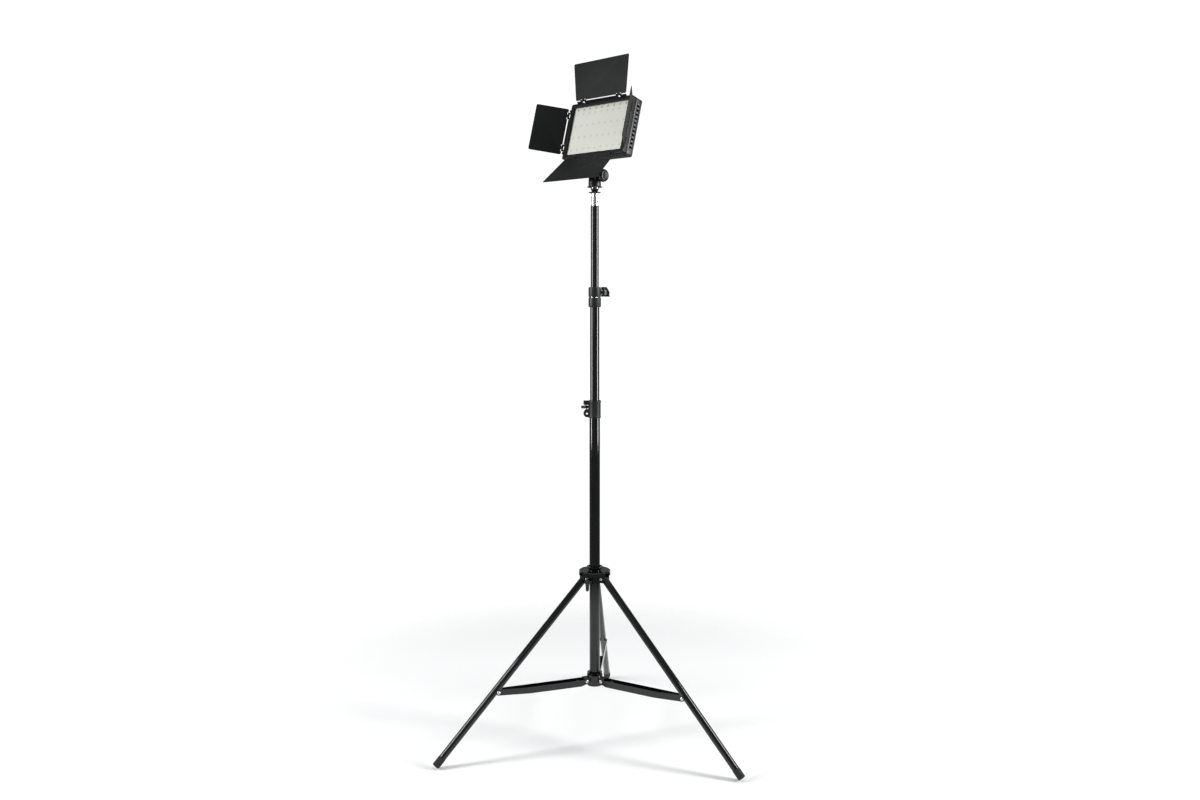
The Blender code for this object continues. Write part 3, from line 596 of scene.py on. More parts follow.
def loft(rings: Sequence[Ring], closed: bool = False, place: Matrix | None = None) -> Mesh:
    """Skins a row of rings.

    Args:
        rings: Rings of equal count; a ring of one point is a pole.
        closed: Whether the last ring joins the first, as in a tube with a wall. If not, the end
            rings are filled.
        place: Where the shape goes.

    Returns:
        A closed mesh with its faces pointing out.
    """
    skin = bmesh.new()
    matrix = place or Matrix()
    loops = [[skin.verts.new(matrix @ point) for point in ring] for ring in rings]
    pairs = list(zip(loops, loops[1:]))
    if closed:
        pairs.append((loops[-1], loops[0]))
    for near, far in pairs:
        count = max(len(near), len(far))
        for index in range(count):
            after = (index + 1) % count
            corners = (
                near[index % len(near)],
                near[after % len(near)],
                far[after % len(far)],
                far[index % len(far)],
            )
            skin.faces.new(dict.fromkeys(corners))
    if not closed:
        for end in (loops[0], loops[-1]):
            if len(end) > 2:
                skin.faces.new(end)
    bmesh.ops.recalc_face_normals(skin, faces=skin.faces)
    mesh = bpy.data.meshes.new("shape")
    skin.to_mesh(mesh)
    skin.free()
    return mesh


def turned(
    profile: Sequence[Point],
    sides: int = 48,
    closed: bool = False,
    flutes: Flutes | None = None,
    place: Matrix | None = None,
) -> Mesh:
    """Turns a profile of (radius, height) about Z, as on a lathe.

    Args:
        profile: The profile; radius 0 is a pole on the axis.
        sides: Sides of the round.
        closed: Whether the profile is a loop, as of a tube's wall.
        flutes: Grip flutes, if the rim has them.
        place: Where the shape goes.

    Returns:
        A closed mesh.
    """
    rings = []
    for radius, height in profile:
        if radius < 1e-7:
            rings.append([Vector((0, 0, height))])
            continue
        ring = []
        for side in range(sides):
            angle = 2 * math.pi * side / sides
            out = flutes.radius(radius, height, angle) if flutes else radius
            ring.append(Vector((out * math.cos(angle), out * math.sin(angle), height)))
        rings.append(ring)
    return loft(rings, closed, place)


def rod(radius: float, low: float, high: float, sides: int = 24, place: Matrix | None = None) -> Mesh:
    """A plain round between two heights, as a pin's shank or as the cutter of a hole."""
    return turned([(0.0, high), (radius, high), (radius, low), (0.0, low)], sides, place=place)


def stacked(
    outline: Callable[[float], Outline],
    edge: Sequence[Point],
    closed: bool = False,
    place: Matrix | None = None,
) -> Mesh:
    """Stacks an outline at the insets and heights of an edge profile.

    Args:
        outline: Gives the outline for an inset.
        edge: The edge as (inset, height).
        closed: Whether the edge is a loop, as of a frame.
        place: Where the shape goes.

    Returns:
        A closed mesh.
    """
    rings = [[Vector((x, y, height)) for x, y in outline(inset)] for inset, height in edge]
    return loft(rings, closed, place)


def slab(outline: Outline, low: float, high: float, rim: float, place: Matrix | None = None) -> Mesh:
    """An anticlockwise outline made thick from low to high, with rounded rims."""
    return stacked(lambda inset: shrunk(outline, inset), rims(low, high, rim), place=place)


def block(low: Sequence[float], high: Sequence[float], rim: float, place: Matrix | None = None) -> Mesh:
    """A box between two corners, with rounded edges.

    Args:
        low: The lowest corner.
        high: The highest corner.
        rim: The edges' radius.
        place: Where the shape goes.

    Returns:
        A closed mesh.
    """
    middle = Vector([(a + b) / 2 for a, b in zip(low, high)])
    half = [(b - a) / 2 for a, b in zip(low, high)]
    outline = rectangle(half[0], half[1], rim * 1.2, 3)
    matrix = (place or Matrix()) @ Matrix.Translation(middle)
    return slab(outline, -half[2], half[2], rim, matrix)


def merged(shapes: Iterable[Mesh]) -> Mesh:
    """Puts shapes that don't touch into one mesh.

    Args:
        shapes: The shapes, which are used up.

    Returns:
        One mesh.
    """
    whole = bmesh.new()
    for shape in shapes:
        whole.from_mesh(shape)
        bpy.data.meshes.remove(shape)
    mesh = bpy.data.meshes.new("shape")
    whole.to_mesh(mesh)
    whole.free()
    return mesh


def carved(base: Mesh, tools: Iterable[Mesh], how: Carve) -> Mesh:
    """Cuts tools from a shape, or joins them to it, one after the other.

    Args:
        base: The closed shape to work on.
        tools: Closed shapes.
        how: Cut or join.

    Returns:
        The new closed shape.
    """
    body = bpy.data.objects.new("body", base)
    bpy.context.scene.collection.objects.link(body)
    helpers = []
    for tool in tools:
        helper = bpy.data.objects.new("tool", tool)
        bpy.context.scene.collection.objects.link(helper)
        step = body.modifiers.new("carve", "BOOLEAN")
        step.operation = how.value
        step.object = helper
        helpers.append(helper)
    bpy.context.view_layer.update()
    result = bpy.data.meshes.new_from_object(body.evaluated_get(bpy.context.evaluated_depsgraph_get()))
    for helper in (body, *helpers):
        shape = helper.data
        bpy.data.objects.remove(helper)
        bpy.data.meshes.remove(shape)
    return result


def aimed(spot: Sequence[float], along: Sequence[float]) -> Matrix:
    """A place at a spot whose Z points along a direction."""
    turn = Vector(along).to_track_quat("Z", "X").to_matrix().to_4x4()
    return Matrix.Translation(Vector(spot)) @ turn


def rivet_head(radius: float, height: float, place: Matrix) -> Mesh:
    """A domed rivet head with the dimple that the setting punch leaves.

    Args:
        radius: The head's radius.
        height: The head's height.
        place: Where it sits, with Z outward.

    Returns:
        A closed mesh.
    """
    crown = height * 0.92
    profile = [
        (0.0, -0.3 * MM), (radius * 0.92, -0.3 * MM), (radius, 0.1 * MM), (radius * 0.93, height * 0.45),
        (radius * 0.72, height * 0.85), (radius * 0.48, height), (radius * 0.36, crown),
        (radius * 0.26, height * 0.55), (0.0, height * 0.4),
    ]
    return turned(profile, 24, place=place)


def cross_screw(radius: float, place: Matrix) -> Mesh:
    """A pan head screw with a cross recess.

    Args:
        radius: The head's radius.
        place: Where it sits, with Z outward.

    Returns:
        A closed mesh.
    """
    height = radius * 0.62
    profile = [(0.0, -0.4 * MM), (radius, -0.4 * MM), (radius, height * 0.4), (radius * 0.82, height * 0.86)]
    head = turned(profile + [(radius * 0.5, height), (0.0, height)], 24)
    arm, width = radius * 0.55, radius * 0.13
    tools = []
    for turn in (0, 90):
        about = Matrix.Rotation(math.radians(turn), 4, "Z")
        tools.append(block((-arm, -width, height * 0.35), (arm, width, height * 2), 0.02 * MM, about))
    made = carved(head, tools, Carve.CUT)
    made.transform(place)
    return made


# ------------------------------------------------------------------ the base model

class Rig:
    """The base model: its nodes, its joints and the frames that pieces are built in."""

    def __init__(self, frame: dict[str, Any]) -> None:
        """Keeps the loaded frame.

        Args:
            frame: The loaded frame.
        """
        self.nodes: dict[str, Thing] = frame["nodes"]
        self.joints: dict[str, dict[str, Any]] = {joint["name"]: joint for joint in frame["joints"]}
        self.mounts: dict[str, dict[str, Any]] = {m["name"]: m for m in frame["record"]["mounts"]}

    def pivot(self, joint: str) -> Vector:
        """A hinge's place."""
        return Vector(self.joints[joint]["pos_m"])

    def axis(self, joint: str) -> Vector:
        """A joint's direction."""
        return Vector(self.joints[joint]["axis"]).normalized()

    def box(self, node: str, place: Matrix) -> tuple[Vector, Vector]:
        """The lowest and highest corner of a node, measured in a frame.

        Args:
            node: The node's name.
            place: The frame to measure in.

        Returns:
            The lowest and the highest corner.
        """
        inverse = place.inverted()
        spots = [inverse @ corner.co for corner in self.nodes[node].data.vertices]
        low = Vector([min(spot[axis] for spot in spots) for axis in range(3)])
        high = Vector([max(spot[axis] for spot in spots) for axis in range(3)])
        return low, high

    def middle(self, node: str, place: Matrix | None = None) -> Vector:
        """The middle of a node's box in a frame, given in the row frame.

        Args:
            node: The node's name.
            place: The frame to measure in.

        Returns:
            The middle, in the row's own coordinates.
        """
        matrix = place or Matrix()
        low, high = self.box(node, matrix)
        return matrix @ ((low + high) / 2)

    def edge(self, node: str, origin: Vector, axis: Vector) -> Vector:
        """The mean of the points of a node that lie farthest from an axis.

        Args:
            node: The node's name.
            origin: A point on the axis.
            axis: The axis's direction.

        Returns:
            The mean point, from the origin.
        """
        spots = [corner.co.copy() for corner in self.nodes[node].data.vertices]
        away = [(spot - origin) - axis * (spot - origin).dot(axis) for spot in spots]
        limit = max(step.length for step in away) - 1.5 * MM
        far = [step for step in away if step.length > limit]
        return sum(far, Vector()) / len(far)

    @property
    def column(self) -> Matrix:
        """The column's frame: its axis on the floor, with the row frame's directions."""
        spot = self.pivot("pan")
        return Matrix.Translation((spot.x, spot.y, 0.0))

    @property
    def head(self) -> Matrix:
        """The lamp's frame: the tilt axis, X along it, Y to the lamp's back, Z up the lamp.

        Returns:
            The frame.
        """
        across = -self.axis("tilt")
        back = Vector(self.mounts["battery_face"]["axis"])
        return framed(self.pivot("tilt"), across, across.cross(back))


def framed(spot: Vector, across: Vector, upward: Vector) -> Matrix:
    """A frame at a spot from its X direction and roughly its Z direction.

    Args:
        spot: The frame's place.
        across: Its X direction.
        upward: Roughly its Z direction.

    Returns:
        The frame.
    """
    x_axis = across.normalized()
    z_axis = (upward - x_axis * upward.dot(x_axis)).normalized()
    y_axis = z_axis.cross(x_axis)
    turn = Matrix((x_axis, y_axis, z_axis)).transposed().to_4x4()
    return Matrix.Translation(spot) @ turn


@dataclass
class Assembly:
    """A sub-assembly of the lamp or its stand.

    Attributes:
        rig: The base model.
    """

    rig: Rig

    def add(
        self,
        name: str,
        shape: Mesh,
        finish: Finish,
        body: str,
        place: Matrix,
        stands_for: Sequence[str] = (),
        crease: float = CREASE,
    ) -> Thing:
        """Puts a finished shape on a body.

        Args:
            name: The piece's name.
            shape: The shape, in the frame's own coordinates.
            finish: What it is made of.
            body: The body that it moves with.
            place: The frame.
            stands_for: Nodes that it replaces.
            crease: Edges sharper than this many degrees stay crisp.

        Returns:
            The piece.
        """
        shape.name = name
        piece = bpy.data.objects.new(name, shape)
        bpy.context.scene.collection.objects.link(piece)
        piece.matrix_world = place
        shape.materials.clear()
        shape.materials.append(finish.material())
        shape.shade_smooth()
        shape.set_sharp_from_angle(angle=math.radians(crease))
        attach(piece, body)
        if stands_for:
            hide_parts(*stands_for)
        LOG.info("%s rides on %s, %d faces", name, body, len(shape.polygons))
        return piece

    def dress(self, name: str, finish: Finish, edge: float) -> None:
        """Gives a node its finish and rounded edges; its shape stays.

        Args:
            name: The node.
            finish: What it is made of.
            edge: Width of the rounding, in metres.
        """
        node = self.rig.nodes[name]
        mesh = node.data
        if not node.material_slots:
            mesh.materials.append(None)
        for holder in node.material_slots:
            holder.material = finish.material()
        for layer in ("custom_normal", "sharp_edge", "sharp_face"):
            if layer in mesh.attributes:
                mesh.attributes.remove(mesh.attributes[layer])
        mesh.shade_smooth()
        weld = node.modifiers.new("weld", "WELD")
        weld.merge_threshold = SAME_POINT
        flatten = node.modifiers.new("flatten", "DECIMATE")
        flatten.decimate_type = "DISSOLVE"
        flatten.angle_limit = math.radians(SAME_FACE)
        rounding = node.modifiers.new("rounding", "BEVEL")
        rounding.width = edge
        rounding.segments = 2
        rounding.limit_method = "ANGLE"
        rounding.angle_limit = math.radians(CREASE)
        normals = node.modifiers.new("normals", "WEIGHTED_NORMAL")
        normals.keep_sharp = True
        LOG.info("%s keeps its shape", name)


# ------------------------------------------------------------------ column and clamps

@dataclass
class Column(Assembly):
    """Three drawn tubes that slide in each other.

    Attributes:
        wall: Wall of the tubes.
        lip: Rounding of a tube's end.
    """

    wall: float = 1.2 * MM
    lip: float = 0.35 * MM

    def build(self) -> None:
        """Makes the three tubes."""
        place = self.rig.column
        sections = (
            ("lower_tube", "stand_column"),
            ("middle_tube", "middle_section"),
            ("upper_tube", "upper_section"),
        )
        for name, body in sections:
            low, high = self.rig.box(name, place)
            outer = high.x
            inner = outer - self.wall
            wall = [(outer, high.z), (outer, low.z), (inner, low.z), (inner, high.z)]
            shape = turned(fillet(wall, self.lip), 72, closed=True)
            self.add(f"{name}_drawn", shape, ENAMEL, body, place, [name])


@dataclass
class Clamp(Assembly):
    """What the two column clamps share: a moulded collar, a pin and a lever.

    Attributes:
        radius: Outer radius of the collar.
        pin_radius: Radius of the lever's pin.
        knuckle: Radius of the lever's round end.
        play: Clearance round tubes and pins.
    """

    radius: float = 14.7 * MM
    pin_radius: float = 1.6 * MM
    knuckle: float = 5.4 * MM
    play: float = 0.3 * MM

    def place(self, joint: str, collar: str) -> Matrix:
        """The clamp's frame: foot of the collar on the column's axis, X toward the lever's pin.

        Args:
            joint: The lever's joint.
            collar: The collar's node.

        Returns:
            The frame.
        """
        column = self.rig.column
        across = self.rig.pivot(joint) - column.translation
        across.z = 0.0
        low, _ = self.rig.box(collar, column)
        spot = Vector((column.translation.x, column.translation.y, low.z))
        return framed(spot, across, Vector((0, 0, 1)))

    def pin_reach(self, joint: str) -> float:
        """Distance from the column's axis to the lever's pin."""
        across = self.rig.pivot(joint) - self.rig.column.translation
        return math.hypot(across.x, across.y)

    def add_pin(self, node: str, body: str, place: Matrix, reach: float) -> None:
        """Makes the dowel pin that the lever turns on.

        Args:
            node: The pin's node.
            body: The body that holds it.
            place: The clamp's frame.
            reach: Distance from the column's axis to the pin.
        """
        low, high = self.rig.box(node, place)
        radius, chamfer = self.pin_radius, 0.4 * MM
        profile = [
            (0.0, high.z), (radius - chamfer, high.z), (radius, high.z - chamfer), (radius, low.z + chamfer),
            (radius - chamfer, low.z), (0.0, low.z),
        ]
        at_pin = place @ Matrix.Translation((reach, 0, 0))
        self.add(f"{node}_dowel", turned(profile, 24), NICKEL, body, at_pin, [node])

    def bore(self, reach: float, low: float, high: float) -> Mesh:
        """The hole for the lever's pin, as a cutter."""
        return rod(self.pin_radius + self.play, low, high, 20, Matrix.Translation((reach, 0, 0)))


@dataclass
class LowerClamp(Clamp):
    """The lower clamp: a smooth collar with a lug, a finger loop and a short blade lever."""

    def build(self) -> None:
        """Makes the collar, the pin and the lever."""
        joint = "lower_lever_turn"
        place = self.place(joint, "lower_clamp_collar")
        reach = self.pin_reach(joint)
        low, high = self.rig.box("lower_clamp_collar", place)
        top = high.z - low.z
        tube = self.rig.box("lower_tube", place)[1]
        slider = self.rig.box("middle_tube", place)[1]
        bore, lip = tube.x + self.play, slider.x + self.play
        seat = tube.z + self.play
        profile = [
            (self.radius, top), (self.radius, top - 5 * MM), (self.radius - 0.5 * MM, top - 6 * MM),
            (self.radius - 0.5 * MM, 4.5 * MM), (self.radius, 3.5 * MM), (self.radius, 0.0),
            (bore, 0.0), (bore, seat), (lip, seat), (lip, top),
        ]
        body = turned(fillet(profile, 0.8 * MM), 64, closed=True)
        lug = block((13 * MM, -5 * MM, top - 10.5 * MM), (26.5 * MM, 5 * MM, top - 0.5 * MM), 1.4 * MM)
        ring = arc((17 * MM, 10.5 * MM), 9.6 * MM, -112, 112, 28)
        loop = slab(ring, -3.5 * MM, 3.5 * MM, 0.9 * MM, STANDING)
        rib_low, rib_high = (-0.9 * MM, -15.1 * MM, 6 * MM), (0.9 * MM, -13.4 * MM, top - 7 * MM)
        ribs = [
            block(rib_low, rib_high, 0.5 * MM, Matrix.Rotation(math.radians(turn), 4, "Z"))
            for turn in (78, 90, 102)
        ]
        body = carved(body, [lug, loop, merged(ribs)], Carve.JOIN)
        eye = rod(2.5 * MM, -9 * MM, 9 * MM, 24, aimed((18.3 * MM, 0, 9.5 * MM), (0, 1, 0)))
        slit = block((lip, -0.5 * MM, top - 19 * MM), (30 * MM, 0.5 * MM, top + 3 * MM), 0.05 * MM)
        hole = self.bore(reach, 14 * MM, top + 3 * MM)
        body = carved(body, [eye, slit, hole], Carve.CUT)
        self.add("lower_clamp_moulding", body, NYLON, "stand_column", place, ["lower_clamp_collar"])
        self.add_pin("lower_clamp_pin", "stand_column", place, reach)
        self.build_lever(place @ Matrix.Translation((reach, 0, 0)))

    def build_lever(self, place: Matrix) -> None:
        """Makes the blade with its round eye and its pointed thumb end.

        Args:
            place: The pin's frame.
        """
        low, high = self.rig.box("lower_clamp_lever", place)
        eye = arc((0, 0), self.knuckle, 38, 322, 28)
        tip = [(9 * MM, -1.6 * MM), (high.x, -0.7 * MM), (high.x, 0.7 * MM), (9 * MM, 1.6 * MM)]
        blade = slab(eye + tip, low.z - 0.6 * MM, high.z + 0.6 * MM, 0.7 * MM)
        blade = carved(blade, [self.bore(0.0, low.z - 3 * MM, high.z + 3 * MM)], Carve.CUT)
        self.add("lower_clamp_blade", blade, NYLON, "lower_lever", place, ["lower_clamp_lever"])


@dataclass
class UpperClamp(Clamp):
    """The upper clamp: two collar halves with a waist between them and a wedge lever.

    Attributes:
        waist: Height of the waist's middle above the collar's foot.
        fork_low: Lower face of the lever's fork.
        fork_high: Upper face of the lever's fork.
    """

    waist: float = 22.5 * MM
    fork_low: float = 29.6 * MM
    fork_high: float = 38.4 * MM

    def build(self) -> None:
        """Makes the collar, the screws in its waist, the pin and the lever."""
        joint = "upper_lever_turn"
        place = self.place(joint, "upper_clamp_collar")
        reach = self.pin_reach(joint)
        low, high = self.rig.box("upper_clamp_collar", place)
        top = high.z - low.z
        tube = self.rig.box("middle_tube", place)[1]
        slider = self.rig.box("upper_tube", place)[1]
        bore, lip, seat = tube.x + self.play, slider.x + self.play, tube.z + self.play
        groove, half = self.radius - 1.7 * MM, 1.1 * MM
        profile = [
            (self.radius - 0.6 * MM, top), (self.radius, top - 3 * MM), (self.radius, self.waist + half),
            (groove, self.waist + half), (groove, self.waist - half), (self.radius, self.waist - half),
            (self.radius, 3 * MM), (self.radius - 0.6 * MM, 0.0),
            (bore, 0.0), (bore, seat), (lip, seat), (lip, top),
        ]
        body = turned(fillet(profile, 0.6 * MM), 64, closed=True)
        lug_outline = arc((reach, 0), 5.5 * MM, -136, 136, 24) + [(13 * MM, 3.8 * MM), (13 * MM, -3.8 * MM)]
        lug = slab(lug_outline, self.fork_low + 0.4 * MM, self.fork_high - 0.4 * MM, 0.6 * MM)
        rib_low, rib_high = (-0.9 * MM, -15.1 * MM, 4 * MM), (0.9 * MM, -13.4 * MM, 19 * MM)
        ribs = [
            block(rib_low, rib_high, 0.5 * MM, Matrix.Rotation(math.radians(turn), 4, "Z"))
            for turn in (24, 36, 48, 60, 180)
        ]
        body = carved(body, [lug, merged(ribs)], Carve.JOIN)
        body = carved(body, [self.bore(reach, 20 * MM, 44 * MM)], Carve.CUT)
        self.add("upper_clamp_moulding", body, NYLON, "middle_section", place, ["upper_clamp_collar"])
        screws = []
        for turn in (-24, 18):
            about = Matrix.Rotation(math.radians(turn), 4, "Z")
            at_screw = about @ aimed((0, -groove - 0.5 * MM, self.waist), (0, -1, 0))
            screws.append(cross_screw(1.9 * MM, at_screw))
        self.add("upper_clamp_screws", merged(screws), NICKEL, "middle_section", place)
        self.add_pin("upper_clamp_pin", "middle_section", place, reach)
        self.build_lever(place @ Matrix.Translation((reach, 0, 0)))

    def build_lever(self, place: Matrix) -> None:
        """Makes the forked wedge with its round knuckle, sloped thumb corner and finger scoop.

        Args:
            place: The pin's frame.
        """
        low, high = self.rig.box("upper_clamp_lever", place)
        right = high.x
        outline = [
            (0.0, low.z), (right, low.z), (right, low.z + 7 * MM), (right - 2.5 * MM, low.z + 14 * MM),
            (right - 8 * MM, high.z), (0.0, high.z),
        ]
        half = 4.2 * MM
        wedge = slab(fillet(outline, 1.6 * MM), -half, half, 1.1 * MM, STANDING)
        edge = [(self.knuckle - inset, height) for inset, height in reversed(rims(low.z, high.z, 1.1 * MM))]
        knuckle = turned([(0.0, high.z), *edge, (0.0, low.z)], 48)
        wedge = carved(wedge, [knuckle], Carve.JOIN)
        at_scoop = aimed((right + 3.4 * MM, 0, low.z + 5 * MM), (0, 1, 0))
        scoop = rod(5 * MM, -9 * MM, 9 * MM, 32, at_scoop)
        fork = block((-9 * MM, -9 * MM, self.fork_low), (6.2 * MM, 9 * MM, self.fork_high), 0.5 * MM)
        bore = self.bore(0.0, low.z + 0.7 * MM, self.fork_high + 4.9 * MM)
        wedge = carved(wedge, [scoop, fork, bore], Carve.CUT)
        self.add("upper_clamp_wedge", wedge, NYLON, "upper_lever", place, ["upper_clamp_lever"])


# ------------------------------------------------------------------ folding base

@dataclass
class FoldingBase(Assembly):
    """The two hubs, the lock knob, three legs with caps and three braces with their rivets.

    Attributes:
        leg_wall: Wall of the leg tubes.
        wing_drop: Distance from the knob's middle to the middle of the wing's round end.
        shank: Radius of a rivet's shank.
        dome: Radius of a rivet's head.
        dome_high: Height of a rivet's head.
        sunk: How far the foot of a rivet's head lies below the end of its node.
    """

    leg_wall: float = 1.2 * MM
    wing_drop: float = 18 * MM
    shank: float = 2.5 * MM
    dome: float = 4.1 * MM
    dome_high: float = 1.5 * MM
    sunk: float = 1.2 * MM

    def build(self) -> None:
        """Makes all of the base."""
        self.build_hubs()
        self.build_lock_knob()
        for number in (1, 2, 3):
            self.build_leg(number)
            self.build_rivets(number)
            self.dress(f"brace_{number}", ENAMEL, 0.35 * MM)

    def build_hubs(self) -> None:
        """Finishes the two pressed hubs and adds their flared collars."""
        self.dress("upper_hub", ENAMEL, 0.5 * MM)
        self.dress("lower_hub", ENAMEL, 0.5 * MM)
        place = self.rig.column
        tube = self.rig.box("lower_tube", place)[1].x
        collars = (
            ("upper_hub", "leg_hub", 8.5 * MM, 19.2 * MM),
            ("lower_hub", "stand_column", 4.5 * MM, 18.4 * MM),
        )
        for node, body, height, flare in collars:
            top = self.rig.box(node, place)[1].z
            bore = tube + 0.35 * MM
            profile = [
                (flare, top + height), (flare - 2.6 * MM, top + height * 0.55),
                (bore + 2.2 * MM, top + 1.5 * MM),
                (bore + 2.2 * MM, top - 0.3 * MM), (bore, top - 0.3 * MM), (bore, top + height * 0.4),
                (flare - 3.4 * MM, top + height * 0.75), (flare - 1.2 * MM, top + height + 0.6 * MM),
            ]
            ring = turned(fillet(profile, 0.5 * MM), 64, closed=True)
            self.add(f"{node}_collar", ring, ENAMEL, body, place)

    def build_lock_knob(self) -> None:
        """Makes the fluted knob on its screw, with the wing that hangs from it."""
        knob = self.rig.axis("hub_lock_turn")
        column = self.rig.column.translation
        centre = self.rig.middle("hub_lock_knob") - column
        out = Vector((centre.x, centre.y, 0)).normalized()
        screw = knob if knob.dot(out) > 0 else -knob
        spot = Vector((column.x, column.y, self.rig.pivot("hub_lock_turn").z))
        upright = framed(spot, Vector((0, 0, 1)).cross(screw), Vector((0, 0, 1)))
        place = upright @ Matrix.Rotation(math.radians(90), 4, "X")
        low, high = self.rig.box("hub_lock_knob", place)
        near, far = (low.z, high.z) if high.z > 0 else (-high.z, -low.z)
        head, radius, neck = far - 6.2 * MM, 6.9 * MM, 4.0 * MM
        profile = [
            (0.0, far - 0.7 * MM), (3.0 * MM, far - 0.7 * MM), (3.4 * MM, far), (radius - 1.2 * MM, far),
            (radius, far - 1.2 * MM), (radius, head + 1.0 * MM), (radius - 1.0 * MM, head + 0.3 * MM),
            (neck, head), (neck, near + 0.5 * MM), (neck - 0.5 * MM, near), (0.0, near),
        ]
        flutes = Flutes(16, 0.55 * MM, head + 0.8 * MM, far - 1.0 * MM, radius - 0.5 * MM)
        sign = 1 if high.z > 0 else -1
        facing = Matrix.Diagonal((1, 1, sign, 1))
        body = turned(fillet(profile, 0.5 * MM, closed=False), 96, flutes=flutes, place=facing)
        down = -1 if abs(low.y) > abs(high.y) else 1
        tip = arc((0, -self.wing_drop), 3.6 * MM, 180, 360, 12)
        outline = tip + [(4.6 * MM, -3 * MM), (-4.6 * MM, -3 * MM)]
        middle = sign * (far - 2.8 * MM)
        wing = slab(fillet(outline, 0.8 * MM), -1.9 * MM, 1.9 * MM, 0.8 * MM)
        wing.transform(Matrix.Translation((0, 0, middle)) @ Matrix.Diagonal((1, -down, 1, 1)))
        body = carved(body, [wing], Carve.JOIN)
        self.add("hub_lock_thumb_screw", body, NYLON, "hub_lock", place, ["hub_lock_knob"])

    def build_leg(self, number: int) -> None:
        """Makes one leg tube with its cap.

        Args:
            number: The leg's number.
        """
        leg, foot, body = f"leg_{number}", f"foot_{number}", f"leg_{number}"
        pivot = self.rig.pivot(f"leg_hinge_{number}")
        sole = self.rig.middle(foot)
        place = framed(pivot, self.rig.axis(f"leg_hinge_{number}"), pivot - sole)
        low, high = self.rig.box(leg, place)
        outer = (high.x - low.x) / 2
        inner = outer - self.leg_wall
        wall = [(outer, high.z), (outer, low.z), (inner, low.z), (inner, high.z)]
        tube = turned(fillet(wall, 0.4 * MM), 56, closed=True)
        bore = rod(2.8 * MM, -20 * MM, 20 * MM, 24, aimed((0, 0, 0), (1, 0, 0)))
        self.add(f"{leg}_drawn", carved(tube, [bore], Carve.CUT), ENAMEL, body, place, [leg])
        low, high = self.rig.box(foot, place)
        outer, inner = (high.x - low.x) / 2, 8.7 * MM
        groove = low.z + 4.5 * MM
        profile = [
            (0.0, low.z + 3.5 * MM), (inner, low.z + 3.5 * MM), (inner, high.z), (outer - 0.1 * MM, high.z),
            (outer, high.z - 1.5 * MM), (outer, groove + 1.2 * MM), (outer - 0.5 * MM, groove + 0.6 * MM),
            (outer, groove), (outer, low.z + 2.2 * MM), (outer - 1.6 * MM, low.z), (0.0, low.z),
        ]
        cap = turned(fillet(profile, 0.6 * MM, closed=False), 56)
        self.add(f"{foot}_moulded", cap, RUBBER, body, place, [foot])

    def build_rivets(self, number: int) -> None:
        """Makes the rivets of one leg: at the upper hub, the lower hub and the brace's far end.

        Args:
            number: The leg's number.
        """
        across = self.rig.axis(f"leg_hinge_{number}")
        for name, body in ((f"leg_rivet_{number}", "leg_hub"), (f"hub_rivet_{number}", "stand_column")):
            place = aimed(self.rig.middle(name), across)
            grip = self.rig.box(name, place)[1].z - self.sunk
            shaft = rod(self.shank, -grip - 0.1 * MM, grip + 0.1 * MM)
            heads = [
                rivet_head(self.dome, self.dome_high, aimed((0, 0, side * grip), (0, 0, side)))
                for side in (-1, 1)
            ]
            shape = carved(shaft, heads, Carve.JOIN)
            self.add(f"{name}_set", shape, NICKEL, body, place, [name])
        name = f"brace_rivet_{number}"
        spot = self.rig.middle(name)
        brace = self.rig.middle(f"brace_{number}")
        outward = across if (spot - brace).dot(across) > 0 else -across
        place = aimed(spot, outward)
        low, high = self.rig.box(name, place)
        head = rivet_head(self.dome, self.dome_high, Matrix.Translation((0, 0, high.z - self.sunk)))
        stem = rod(self.shank, low.z, high.z - 1.0 * MM)
        self.add(f"{name}_set", carved(stem, [head], Carve.JOIN), NICKEL, f"brace_{number}", place, [name])


# ------------------------------------------------------------------ spigot and tilting adapter

